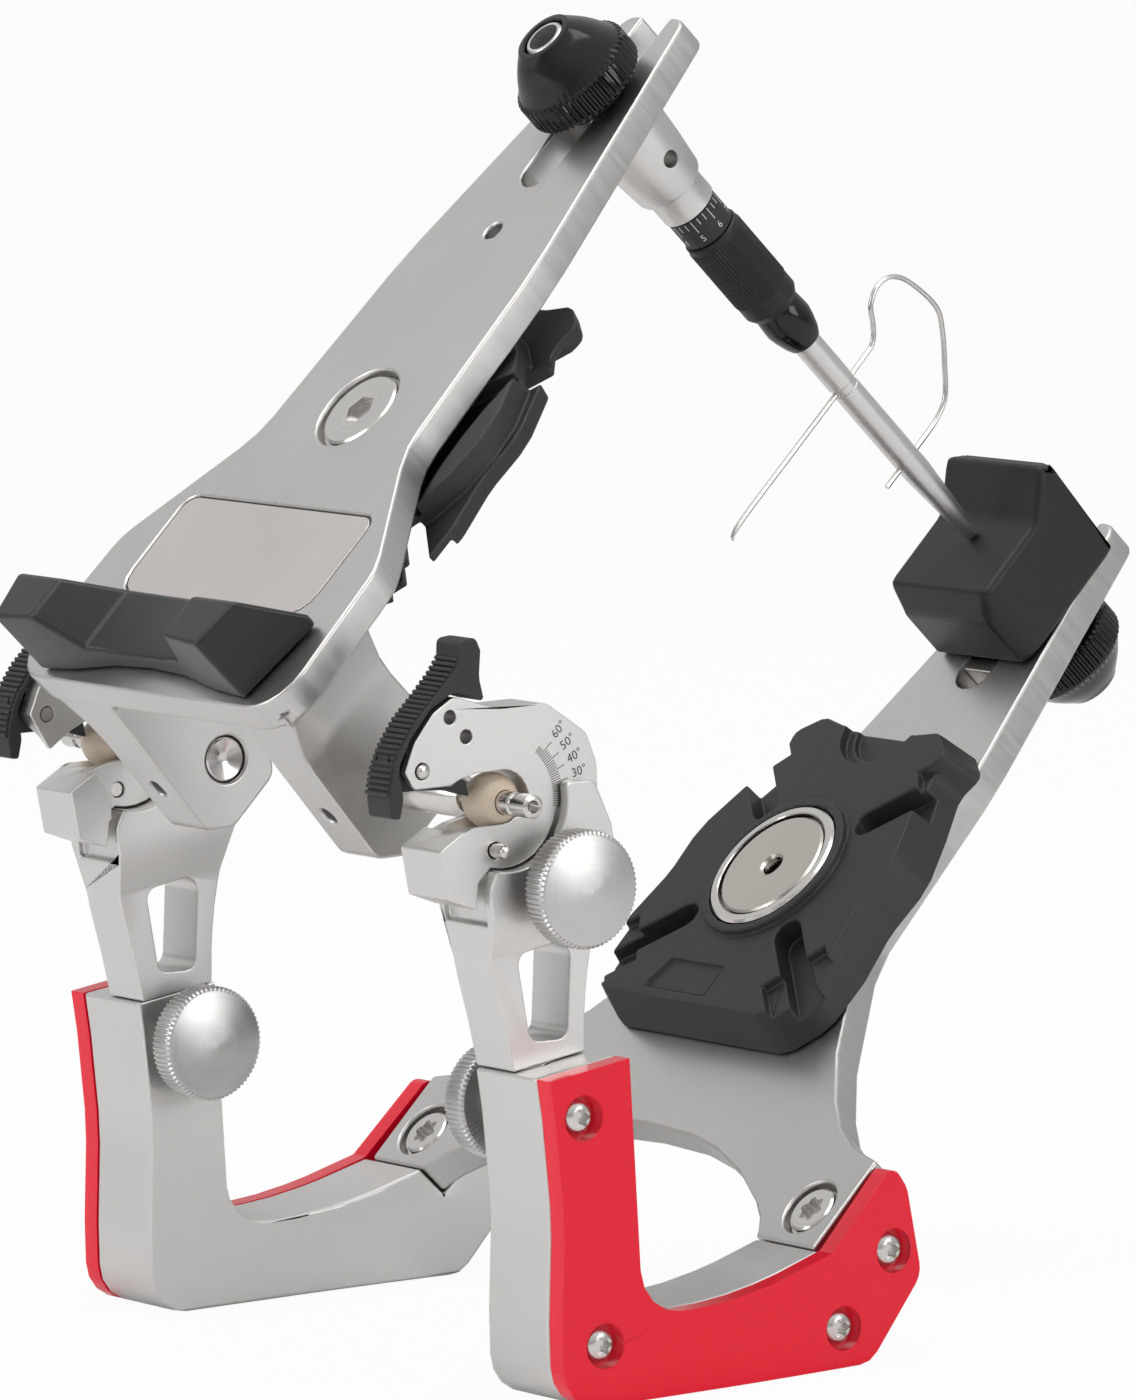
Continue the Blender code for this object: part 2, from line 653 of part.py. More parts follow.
def make_post(side, word, frame):
    inner = side * (POST_INNER_X - CONDYLE_X)
    outer = side * (POST_OUTER_X - CONDYLE_X)
    post = piece(f"post_{word}", slab(post_outline(), *sorted((inner, outer)), "x"), frame, SATIN)
    window = rounded([(-1.2, -24.6, 2), (-1.0, -38.6, 2), (6.0, -39.8, 2), (9.3, -24.2, 2.4)])
    boolean(post, slab(window, -12, 12, "x"))
    for shaft, head, end in ((SHAFT_INNER_X, POST_INNER_X, -30), (SHAFT_OUTER_X, POST_OUTER_X, 30)):
        waist = [(side * (shaft - CONDYLE_X), POST_FOOT_Z - OVER), (side * (shaft - CONDYLE_X), -24.5)]
        waist += [(side * (head - CONDYLE_X), -17.0), (side * end, -17.0), (side * end, POST_FOOT_Z - OVER)]
        front_view = slab(waist, -30, 30)
        front_view.transform(Matrix(((1, 0, 0, 0), (0, 0, -1, 0), (0, 1, 0, 0), (0, 0, 0, 1))))
        boolean(post, front_view)
    boolean(post, rod(DISC_R + GAP, -12, 12, across="x", sides=36))
    slot = arc((0, 0), DISC_R - 1, -58, 22, 6) + arc((0, 0), 19.6, 22, -54, 8)
    low, high = sorted((side * (FLAG_INNER_X - GAP - CONDYLE_X), side * (DISC_OUTER_X + GAP - CONDYLE_X)))
    boolean(post, slab(slot, low, high, "x"))
    notch = [(-20, -20), (-5.3, -18.4), (-4.9, -10), (-4.9, 0), (-20, 0)]
    low, high = sorted((side * (BLOCK_INNER_X - GAP - CONDYLE_X), side * (DISC_OUTER_X + GAP - CONDYLE_X)))
    boolean(post, slab(notch, low, high, "x"))
    boolean(post, rod(CLAMP_STEM_R + GAP, side * (POST_OUTER_X + OVER - CONDYLE_X), side * -1.0, DISC_KNOB, "x"))
    boolean(post, rod(SPIGOT_R, POST_FOOT_Z + 2, POST_FOOT_Z - SPIGOT_LENGTH, sides=20), "UNION")
    return post


def disc_outline():
    """Side view of a condylar disc in the stand frame: an upper jaw, the scale flag, a round core and a lower block."""
    upper = [(-14.8, 0.2, 0.6), (-18.4, 6.3, 0.6), (-16.5, 10.7, 2), (-12.8, 15.1, 2), (-8.8, 17.4, 2), (-1.0, 14.9, 8)]
    upper += [(8.8, 14.9, 3), (16.4, 9.6, 3), (18.3, 4.6, 4), (18.3, -1.8, 0.5)]
    core = [(u, v, 0) for u, v in arc((0, 0), DISC_R, -10, -104, 8)]
    block = [(-4.9, -12.4, 0), (-5.4, -16.6, 0.5), (-10.9, -14.5, 0.5), (-12.2, -6.8, 0.5), (-6.9, -3.7, 8), (-1.5, -2.5, 2)]
    track = [(u, v, 0) for u, v in arc((0, 0), TRACK_R + 0.3, -30, 100, 9)] + [(-6.5, 4.9, 8), (-10.8, 3.0, 8)]
    return rounded(upper + core + block + track)


def make_disc(side, word, frame):
    def from_ball(x):
        return side * (x - CONDYLE_X)

    low, high = sorted((from_ball(BLOCK_INNER_X), from_ball(DISC_OUTER_X)))
    disc = piece(f"condylar_disc_{word}", slab(disc_outline(), low, high, "x"), frame, SATIN)
    thin = [(-4.4, -30), (-4.4, -8.5), (-9, -2), (-22, -2), (-22, 30), (30, 30), (30, -30)]
    low, high = sorted((from_ball(BLOCK_INNER_X - OVER), from_ball(DISC_INNER_X)))
    boolean(disc, slab(thin, low, high, "x"))
    flag = arc((0, 0), DISC_R - 0.2, -20, 48, 6) + arc((0, 0), 30, 48, -20, 6)
    low, high = sorted((from_ball(BLOCK_INNER_X - OVER), from_ball(FLAG_INNER_X)))
    boolean(disc, slab(flag, low, high, "x"))
    track = turned([(0, -22), (TRACK_R, -22)] + [(u, v) for u, v in arc((0, 0), TRACK_R, 0, 90, 5)][:-1] + [(0, TRACK_R)])
    track.transform(Matrix.Rotation(math.radians(-90), 4, "X"))
    boolean(disc, track)
    lever_way = [(-25, -5), (-25, 10.0), (-15.1, 10.0), (-3.6, 9.6), (-3.6, -2.0), (-12, -2.0)]
    low, high = sorted((from_ball(WEB_INNER_X - GAP), from_ball(WEB_OUTER_X + GAP)))
    boolean(disc, slab(lever_way, low, high, "x"))
    boolean(disc, rod(LEVER_PIN_R + GAP / 2, -12, 12, LEVER_PIN, "x"))
    for hole in ((-9.6, 14.2), (-6.6, 10.9)):
        boolean(disc, rod(1.15, -12, 12, hole, "x", 12))
    boolean(disc, rod(1.2 + GAP / 2, -12, 12, (-1.7, -7.5), "x"))
    piece(f"stop_pin_{word}", domed_pin(side, DISC_INNER_X + 0.5, DISC_OUTER_X + 3.4, 1.2, (-1.7, -7.5)), frame, STEEL)
    piece(f"lever_pin_{word}", domed_pin(side, DISC_INNER_X, DISC_OUTER_X + 0.7, LEVER_PIN_R, LEVER_PIN), frame, STEEL)
    return disc


def domed_pin(side, inner, outer, radius, centre):
    """A pin along X with a rounded outer end."""
    start, end = side * (inner - CONDYLE_X), side * (outer - CONDYLE_X)
    profile = [(0, end), (radius * 0.7, end - side * 0.15), (radius, end - side * 0.6), (radius, start), (0, start)]
    return turned(profile, centre, "x", SMALL_ROUND)


def make_lever(side, word, frame):
    """Centric lock: a curved thumb lever behind the upper jaw, whose finger holds the ball in its track."""
    tip = [(-3.4, 24.2, 0), (-4.3, 26.3, 1), (-7.4, 26.0, 1)]
    back = [(-7.6, 22.6, 2), (-9.6, 20.3, 3), (-16.2, 13.9, 8), (-20.0, 8.6, 6), (-21.4, 3.0, 6), (-21.0, -0.8, 0.5)]
    front = [(-19.4, -1.0, 0.5), (-18.6, 2.4, 2), (-19.4, 5.6, 1), (-19.2, 7.4, 1), (-17.2, 11.2, 2)]
    front += [(-13.2, 15.7, 2), (-8.8, 18.0, 2), (-2.9, 16.1, 0.5), (-3.8, 20.0, 3)]
    outline = [(u - LEVER_PIN[0], v - LEVER_PIN[1]) for u, v in rounded(tip + back + front)]
    low, high = sorted((side * (LEVER_INNER_X - CONDYLE_X), side * (DISC_OUTER_X - CONDYLE_X)))
    lever = piece(f"centric_lever_{word}", slab(outline, low, high, "x"), frame, BLACK)
    web = [(-20.4, 3.0), (-20.4, 8.2), (-15.3, 9.2), (-11.8, 7.2), (-5.6, 3.6), (-5.1, 1.2), (-9.5, 2.6), (-15.0, 3.0)]
    web = [(u - LEVER_PIN[0], v - LEVER_PIN[1]) for u, v in web]
    low, high = sorted((side * (WEB_INNER_X - CONDYLE_X), side * (WEB_OUTER_X - CONDYLE_X)))
    boolean(lever, slab(web, low, high, "x"), "UNION")
    boolean(lever, rod(LEVER_PIN_R + GAP / 2, -8, 8, (0, 0), "x"))
    return lever


def make_axle(side, word):
    """Steel stud from an ear through its condyle ball, turned, with a conical head at the inner end."""
    start = EAR_INNER_X
    profile = [
        (0, start + 1.0),
        (1.2, start + 1.0),
        (AXLE_HEAD_R, start + 0.3),
        (AXLE_HEAD_R, start + 1.7),
        (2.6, start + 1.7),
        (2.6, EAR_OUTER_X + 1.0),
        (AXLE_R, EAR_OUTER_X + 1.0),
        (AXLE_R, CONDYLE_X - 8.2),
        (2.6, CONDYLE_X - 6.8),
        (AXLE_NECK_R, CONDYLE_X - 6.8),
        (AXLE_NECK_R, STUD_END_X - 0.6),
        (AXLE_NECK_R - 0.5, STUD_END_X),
        (1.1, STUD_END_X),
        (1.1, STUD_END_X - 2.5),
        (0, STUD_END_X - 2.5),
    ]
    profile = [(r, side * x) for r, x in reversed(profile)]
    piece(f"condyle_axle_{word}", turned(profile, across="x", sides=20), PLATES, STEEL)
    shape = piece(f"condyle_ball_{word}", ball(BALL_R, (side * CONDYLE_X, 0, 0), 16), PLATES, CREAM)
    boolean(shape, rod(AXLE_NECK_R + 0.1, side * (CONDYLE_X - 6), side * (CONDYLE_X + 6), across="x", sides=20))


def make_clamp_knob(name, side, face, hub, stem, frame, centre):
    """Knurled clamp knob along X. It grows from the face it clamps, towards the side, with a stem behind it."""
    back = face + side * GAP
    rim = back + side * hub
    lip = rim + side * KNOB_BAND
    profile = [(0, lip + side * KNOB_CONE), (KNOB_R - 0.4, lip), (KNOB_R, lip - side * 0.4), (KNOB_R, rim + side * 0.4)]
    profile += [(KNOB_R - 0.5, rim), (KNOB_HUB_R, rim), (KNOB_HUB_R, back), (CLAMP_STEM_R, back)]
    profile += [(CLAMP_STEM_R, face - side * stem), (0, face - side * stem)]
    return piece(name, turned(profile, centre, "x"), frame, SATIN)


# Incisal pin, pointer and table


def make_pin():
    """Holder, clamp knob, scale ring, sleeve, collet nut and rod, all turned about the pin's axis."""
    axis = (0, PIN_Y)
    under = UPPER_TOP - UPPER_THICK
    bore = ROD_R + GAP
    holder = [(bore, 45.8), (NECK_R, 45.8), (NECK_R, under - GAP), (HOLDER_R, under - GAP), (HOLDER_R - 0.2, 20)]
    holder += [(5.9, 10.4), (5.0, 9.2), (4.9, RING_TOP + GAP), (bore, RING_TOP + GAP)]
    body = piece("pin_holder", turned(holder, axis), PLATES, SATIN)
    boolean(body, rod(1.5, -12, 12, (PIN_Y, 16.8), "x"))
    base = UPPER_TOP + GAP
    hole = NECK_R + GAP
    knob = [(hole, 46.0), (hole + 1.0, 46.0), (BLACK_KNOB_R - 0.5, 38.9), (BLACK_KNOB_R, 38.3), (BLACK_KNOB_R, 34.0)]
    knob += [(BLACK_KNOB_R - 0.6, 33.4), (7.2, 33.4), (7.2, base), (hole, base)]
    piece("pin_clamp_knob", turned(knob, axis), PLATES, GLOSS_BLACK)
    ring = [(bore, RING_TOP), (RING_R, RING_TOP), (RING_R, SLEEVE_TOP + GAP), (bore, SLEEVE_TOP + GAP)]
    piece("scale_ring", turned(ring, axis), PLATES, BLACK)
    sleeve = [(bore, SLEEVE_TOP), (SLEEVE_R - 0.5, SLEEVE_TOP), (SLEEVE_R, SLEEVE_TOP - 0.7), (SLEEVE_R, NUT_TOP + 1.0)]
    sleeve += [(SLEEVE_R - 0.8, NUT_TOP + GAP), (bore, NUT_TOP + GAP)]
    piece("pin_sleeve", turned(sleeve, axis), PLATES, BLACK)
    nut = [(bore, NUT_TOP), (NUT_R - 0.3, NUT_TOP), (NUT_R - 0.1, -21.0), (NUT_R + 0.1, -22.5), (NUT_R, -24.6)]
    nut += [(2.9, NUT_END), (bore, NUT_END)]
    piece("collet_nut", turned(nut, axis), PLATES, GLOSS_BLACK)
    tip = LOWER_TOP + TABLE_HEIGHT + GAP
    profile = [(0, 23.5), (ROD_R, 23.5), (ROD_R, WIRE_UPPER + 2), (ROD_R, -61.0), (ROD_TIP_R + 0.1, tip + 0.8)]
    profile += [(ROD_TIP_R - 0.3, tip), (0, tip)]
    rod_piece = piece("incisal_rod", turned(profile, axis, sides=20), PLATES, SATIN)
    for height in (WIRE_UPPER, WIRE_LOWER):
        hole = rod(WIRE_R + 0.15, PIN_Y - 4, PIN_Y + 4, sides=10)
        hole.transform(Matrix.Rotation(math.radians(-90), 4, "X"))
        hole.transform(Matrix.Translation((0, 0, height * MM)))
        boolean(rod_piece, hole)


def smooth_path(points, per_span):
    """Catmull-Rom points through a route."""
    ends = [points[0]] + points + [points[-1]]
    path = []
    for a, b, c, d in zip(ends, ends[1:], ends[2:], ends[3:]):
        a, b, c, d = (Vector(p) for p in (a, b, c, d))
        for k in range(per_span):
            t = k / per_span
            path.append(0.5 * (2 * b + (c - a) * t + (2 * a - 5 * b + 4 * c - d) * t**2 + (3 * b - a - 3 * c + d) * t**3))
    return path + [Vector(points[-1])]


def make_pointer():
    """Bent wire through two cross holes of the rod: a long pointed leg, a loop and a short stub."""
    long_leg = [(84.6, WIRE_UPPER - 0.9), (87.4, WIRE_UPPER), (105, WIRE_UPPER), (123.5, WIRE_UPPER)]
    loop = [(127.4, -39.0), (129.6, -37.0), (131.6, -34.4), (135.0, -33.2), (138.0, -34.4), (139.8, -37.8), (140.6, -44.6)]
    loop += [(138.6, -48.6), (134.6, -53.2), (131.0, -56.8), (127.4, -58.0)]
    stub = [(123.5, WIRE_LOWER), (112.0, WIRE_LOWER)]
    curve = bpy.data.curves.new("pointer", "CURVE")
    curve.dimensions = "3D"
    curve.bevel_depth = WIRE_R * MM
    curve.bevel_resolution = 2
    curve.use_fill_caps = True
    path = smooth_path([Vector((0, y, z)) for y, z in long_leg + loop + stub], 2)
    line = curve.splines.new("POLY")
    line.points.add(len(path) - 1)
    for point, place in zip(line.points, path):
        point.co = (*(place * MM), 1)
    piece("wire_pointer", finish_mesh(evaluated_mesh(curve)), PLATES, STEEL)


def make_table():
    """Incisal table, its guide key in the slot and the clamp knob below."""
    base = LOWER_TOP + GAP
    top = LOWER_TOP + TABLE_HEIGHT
    profile = [(TABLE_REAR, base, 0), (TABLE_FRONT - 0.6, base, 0), (TABLE_FRONT + 0.8, top + TABLE_RAMP - 2, 1.5)]
    profile += [(TABLE_FRONT - 1.6, top + TABLE_RAMP, 1.0), (PIN_Y + 4.0, top, 4), (TABLE_REAR + 2.4, top, 1), (TABLE_REAR, top - 5, 4)]
    table = piece("incisal_table", slab(rounded(profile), -20, 20, "x"), PLATES, BLACK)
    wide, rear, front = TABLE_HALF, TABLE_REAR - OVER, TABLE_FRONT + 2
    plan = rounded([(-wide, rear, 5), (wide, rear, 5), (wide, front, 5), (-wide, front, 5)])
    boolean(table, slab(plan, base - OVER, top + 20), "INTERSECT")
    boolean(table, rod(2.5 + GAP, base - OVER, base + 9, (0, PIN_Y - 1)))
    key_top = LOWER_TOP - 0.2
    key = [(-FORK_HALF + GAP, 102.4), (FORK_HALF - GAP, 102.4), (FORK_HALF - GAP, 126), (-FORK_HALF + GAP, 126)]
    slide = piece("table_key", slab(key, key_top - 5.4, key_top), PLATES, STEEL)
    boolean(slide, rod(2.5 + GAP, key_top - 8, key_top + OVER, (0, PIN_Y - 1)))
    under = LOWER_TOP - LOWER_THICK - GAP
    knob = [(0, base + 8.5), (2.5, base + 8.5), (2.5, under), (7.2, under), (7.2, under - 2.2), (BLACK_KNOB_R - 0.6, under - 2.2)]
    knob += [(BLACK_KNOB_R, under - 2.8), (BLACK_KNOB_R, under - 7.2), (BLACK_KNOB_R - 0.5, under - 7.8), (4.8, under - 14), (0, under - 14)]
    piece("table_clamp_knob", turned(knob, (0, PIN_Y - 1)), PLATES, GLOSS_BLACK)


def make_centre_screw():
    """Countersunk screw that holds the upper mounting plate."""
    top = UPPER_TOP - 0.5
    place = (0, MOUNT_Y - 0.6)
    end = UPPER_TOP - UPPER_THICK - 7.5
    profile = [(0, top), (CENTRE_SCREW_R, top), (CENTRE_SCREW_R, top - 1.6), (3.0, top - 1.6), (3.0, end), (0, end)]
    screw = piece("centre_screw", turned(profile, place), PLATES, STEEL)
    boolean(screw, rod(2.9, top - 1.4, top + OVER, place, sides=6))


def seat_on_origin():
    """Moves the whole part so that the middle of its lowest level lies at the origin."""
    bpy.context.view_layer.update()
    graph = bpy.context.evaluated_depsgraph_get()
    corners = []
    for obj in PARTS.objects:
        if obj.type == "MESH":
            shape = obj.evaluated_get(graph)
            corners += [shape.matrix_world @ vertex.co for vertex in shape.data.vertices]
    low = [min(corner[i] for corner in corners) for i in range(3)]
    high = [max(corner[i] for corner in corners) for i in range(3)]
    STAND.location = (-(low[0] + high[0]) / 2, -(low[1] + high[1]) / 2, -low[2])


def main():
    make_upper_frame()
    make_name_plate()
    make_rest_saddle()
    make_upper_mounting_plate()
    make_centre_screw()
    make_lower_frame()
    make_lower_mounting_plate()
    make_magnet()
    make_leg_screws()
    make_pin()
    make_pointer()
    make_table()
    for side, word in ((1, "right"), (-1, "left")):
        condyle = (side * CONDYLE_X, 0, 0)
        swivel = new_frame(f"swivel_axis_{word}", STAND, condyle, POST_LEAN)
        disc = new_frame(f"disc_axis_{word}", STAND, condyle)
        lever = new_frame(f"lever_axis_{word}", STAND, (condyle[0], *LEVER_PIN))
        make_arm(side, word)
        make_cover(side, word)
        make_post(side, word, swivel)
        make_disc(side, word, disc)
        make_lever(side, word, lever)
        make_axle(side, word)
        face = side * (POST_OUTER_X - CONDYLE_X)
        make_clamp_knob(f"disc_clamp_knob_{word}", side, face, DISC_KNOB_HUB, 5.5, swivel, DISC_KNOB)
        make_clamp_knob(f"swivel_clamp_knob_{word}", -side, side * ARM_INNER_X, SWIVEL_KNOB_HUB, 1.6, STAND, SWIVEL_KNOB)
    seat_on_origin()


main()
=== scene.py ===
# %% [markdown]
# # A dental articulator, piece by piece
# This lesson dresses a finished solid model of a dental articulator. The solids already have their right sizes and
# joints, so nothing here is measured twice: every size is read from the loaded model. What is made here is what
# the eye looks for, such as rounded edges, knurling, engraved marks and real finishes.

# %% Load the solids
import json
import math

import bmesh
import bpy
from mathutils import Matrix, Vector

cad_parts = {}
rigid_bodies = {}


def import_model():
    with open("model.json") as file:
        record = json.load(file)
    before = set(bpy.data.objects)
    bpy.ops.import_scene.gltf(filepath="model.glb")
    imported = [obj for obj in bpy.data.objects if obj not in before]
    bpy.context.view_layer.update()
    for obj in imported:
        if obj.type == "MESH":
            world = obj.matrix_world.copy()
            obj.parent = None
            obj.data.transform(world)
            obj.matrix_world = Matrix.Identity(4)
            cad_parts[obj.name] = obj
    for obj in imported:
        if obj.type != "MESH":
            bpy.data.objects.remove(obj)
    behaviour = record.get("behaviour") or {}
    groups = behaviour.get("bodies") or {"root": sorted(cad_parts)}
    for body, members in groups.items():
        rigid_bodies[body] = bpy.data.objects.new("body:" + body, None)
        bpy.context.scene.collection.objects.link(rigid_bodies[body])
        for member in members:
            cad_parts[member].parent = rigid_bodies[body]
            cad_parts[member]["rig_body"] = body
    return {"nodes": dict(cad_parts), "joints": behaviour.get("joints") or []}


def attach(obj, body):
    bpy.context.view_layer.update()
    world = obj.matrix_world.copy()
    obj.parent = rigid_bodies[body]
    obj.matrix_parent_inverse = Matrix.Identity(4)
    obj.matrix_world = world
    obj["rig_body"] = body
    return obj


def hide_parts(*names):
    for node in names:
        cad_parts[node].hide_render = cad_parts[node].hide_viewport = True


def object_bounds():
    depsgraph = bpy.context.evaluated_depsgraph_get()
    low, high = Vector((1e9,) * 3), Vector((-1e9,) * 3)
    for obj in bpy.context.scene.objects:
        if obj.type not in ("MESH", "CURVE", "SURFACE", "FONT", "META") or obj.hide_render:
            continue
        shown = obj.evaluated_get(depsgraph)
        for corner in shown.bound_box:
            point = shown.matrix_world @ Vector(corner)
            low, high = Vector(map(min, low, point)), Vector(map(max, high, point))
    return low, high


for leftover in list(bpy.data.objects):
    bpy.data.objects.remove(leftover, do_unlink=True)

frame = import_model()
solid_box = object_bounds()
nodes = frame["nodes"]
joints = {joint["name"]: joint for joint in frame["joints"]}
MM = 0.001
SIDES = (("right", 1), ("left", -1))

# %% [markdown]
# The upper and lower plates are parallel, but tilted to the table, and the two posts lean a little. Turned pieces
# are easiest to draw along their own axis, so each gets a small coordinate frame. The joints already know these
# directions: the holder slides along the plates, and the incisal rod rises along their normal.


# %% Frames that follow the joints
def frame_from(origin, z_axis, y_hint):
    """A placing matrix whose Z is z_axis and whose Y lies near y_hint."""
    z = Vector(z_axis).normalized()
    x = Vector(y_hint).cross(z).normalized()
    y = z.cross(x)
    return Matrix.Translation(Vector(origin)) @ Matrix((x, y, z)).transposed().to_4x4()


hinge = Vector(joints["frame_hinge"]["pos_m"])
along = Vector(joints["holder_slide"]["axis"])
normal = Vector(joints["rod_lift"]["axis"])
PLATES = frame_from(hinge, normal, along)
pin_place = Vector(joints["pin_knob_turn"]["pos_m"])
pin_along = (pin_place - hinge).dot(along)
PIN = PLATES @ Matrix.Translation((0, pin_along, 0))
print("plates tilt", round(math.degrees(math.atan2(along.z, along.y)), 2), "degrees")


def extent(node, place=Matrix.Identity(4)):
    """Lowest and highest corner of a solid, measured in a frame."""
    inverse = place.inverted()
    points = [inverse @ vertex.co for vertex in nodes[node].data.vertices]
    low = Vector([min(point[i] for point in points) for i in range(3)])
    high = Vector([max(point[i] for point in points) for i in range(3)])
    return low, high


# %% [markdown]
# Three effects come back in several finishes, so each is a shader node group that is built once. The grain is the
# fine pitting that blasting and anodising leave. The brushing is the same noise pulled out in one direction. The
# turning marks are rings round a lathe's axis.


# %% A helper for node groups
def new_group(name, inputs):
    """A node group with named number inputs and the two outputs Shade and Height."""
    group = bpy.data.node_groups.new(name, "ShaderNodeTree")
    for label, value in inputs.items():
        socket = group.interface.new_socket(label, in_out="INPUT", socket_type="NodeSocketFloat")
        socket.default_value = value
    group.interface.new_socket("Shade", in_out="OUTPUT", socket_type="NodeSocketFloat")
    group.interface.new_socket("Height", in_out="OUTPUT", socket_type="NodeSocketFloat")
    source = group.nodes.new("NodeGroupInput")
    sink = group.nodes.new("NodeGroupOutput")
    return group, source, sink


def noise(group, vector, scale, detail):
    made = group.nodes.new("ShaderNodeTexNoise")
    made.inputs["Scale"].default_value = scale
    made.inputs["Detail"].default_value = detail
    group.links.new(vector, made.inputs["Vector"])
    return made


def scaled_position(group, source, stretch):
    """Object coordinates, multiplied by the group's Scale input and a stretch for each axis."""
    place = group.nodes.new("ShaderNodeTexCoord")
    stretched = group.nodes.new("ShaderNodeVectorMath")
    stretched.operation = "MULTIPLY"
    stretched.inputs[1].default_value = stretch
    grown = group.nodes.new("ShaderNodeVectorMath")
    grown.operation = "SCALE"
    group.links.new(place.outputs["Object"], stretched.inputs[0])
    group.links.new(stretched.outputs[0], grown.inputs[0])
    group.links.new(source.outputs["Scale"], grown.inputs["Scale"])
    return grown.outputs[0]


# %% Grain and brushing
def speckle_group(name, stretch, detail):
    group, source, sink = new_group(name, {"Scale": 1000.0, "Cloud": 40.0})
    fine = noise(group, scaled_position(group, source, stretch), 1.0, detail)
    place = group.nodes.new("ShaderNodeTexCoord")
    broad = group.nodes.new("ShaderNodeTexNoise")
    group.links.new(place.outputs["Object"], broad.inputs["Vector"])
    group.links.new(source.outputs["Cloud"], broad.inputs["Scale"])
    blend = group.nodes.new("ShaderNodeMix")
    blend.inputs["Factor"].default_value = 0.35
    group.links.new(fine.outputs["Fac"], blend.inputs[2])
    group.links.new(broad.outputs["Fac"], blend.inputs[3])
    group.links.new(blend.outputs[0], sink.inputs["Shade"])
    group.links.new(fine.outputs["Fac"], sink.inputs["Height"])
    return group


GRAIN = speckle_group("Blasted grain", (1, 1, 1), 3)
BRUSHED = speckle_group("Brushed lines", (1, 0.02, 0.02), 4)


# %% Turning marks
def turning_group():
    group, source, sink = new_group("Turning marks", {"Scale": 2500.0, "Cloud": 40.0})
    place = group.nodes.new("ShaderNodeTexCoord")
    parts = group.nodes.new("ShaderNodeSeparateXYZ")
    flat = group.nodes.new("ShaderNodeCombineXYZ")
    radius = group.nodes.new("ShaderNodeVectorMath")
    radius.operation = "LENGTH"
    ring = group.nodes.new("ShaderNodeCombineXYZ")
    grown = group.nodes.new("ShaderNodeVectorMath")
    grown.operation = "SCALE"
    group.links.new(place.outputs["Object"], parts.inputs[0])
    group.links.new(parts.outputs["X"], flat.inputs["X"])
    group.links.new(parts.outputs["Y"], flat.inputs["Y"])
    group.links.new(flat.outputs[0], radius.inputs[0])
    group.links.new(radius.outputs["Value"], ring.inputs["X"])
    group.links.new(parts.outputs["Z"], ring.inputs["Z"])
    group.links.new(ring.outputs[0], grown.inputs[0])
    group.links.new(source.outputs["Scale"], grown.inputs["Scale"])
    lines = noise(group, grown.outputs[0], 1.0, 2)
    group.links.new(lines.outputs["Fac"], sink.inputs["Shade"])
    group.links.new(lines.outputs["Fac"], sink.inputs["Height"])
    return group


TURNED = turning_group()
print("shader groups:", [group.name for group in bpy.data.node_groups])


# %% [markdown]
# One function then makes every finish. The texture darkens and lightens the colour a little, shifts the roughness
# and feeds a very shallow bump. What stays the same all over a surface, such as a clear coat, is set straight on
# the shader.


# %% Finishes
def finish(
    name, colour, roughness, metallic=0.0, group=None, scale=1000.0, contrast=0.06, relief=0.02, **extra
):
    made = bpy.data.materials.new(name)
    made.use_nodes = True
    tree = made.node_tree
    shader = tree.nodes["Principled BSDF"]
    shader.inputs["Metallic"].default_value = metallic
    for label, value in extra.items():
        shader.inputs[label.replace("_", " ")].default_value = value
    texture = tree.nodes.new("ShaderNodeGroup")
    texture.node_tree = group or GRAIN
    texture.inputs["Scale"].default_value = scale
    tint = tree.nodes.new("ShaderNodeMapRange")
    tint.inputs["From Min"].default_value = 0.3
    tint.inputs["From Max"].default_value = 0.7
    tint.inputs["To Min"].default_value = 1 - contrast
    tint.inputs["To Max"].default_value = 1 + contrast
    shade = tree.nodes.new("ShaderNodeVectorMath")
    shade.operation = "SCALE"
    shade.inputs[0].default_value = colour
    rough = tree.nodes.new("ShaderNodeMapRange")
    rough.inputs["From Min"].default_value = 0.3
    rough.inputs["From Max"].default_value = 0.7
    rough.inputs["To Min"].default_value = roughness * 0.88
    rough.inputs["To Max"].default_value = roughness * 1.12
    bump = tree.nodes.new("ShaderNodeBump")
    bump.inputs["Distance"].default_value = relief * MM
    tree.links.new(texture.outputs["Shade"], tint.inputs["Value"])
    tree.links.new(tint.outputs[0], shade.inputs["Scale"])
    tree.links.new(shade.outputs[0], shader.inputs["Base Color"])
    tree.links.new(texture.outputs["Shade"], rough.inputs["Value"])
    tree.links.new(rough.outputs[0], shader.inputs["Roughness"])
    tree.links.new(texture.outputs["Height"], bump.inputs["Height"])
    tree.links.new(bump.outputs[0], shader.inputs["Normal"])
    if group is TURNED:
        rings = tree.nodes.new("ShaderNodeTangent")
        rings.direction_type = "RADIAL"
        rings.axis = "Z"
        tree.links.new(rings.outputs[0], shader.inputs["Tangent"])
    return made


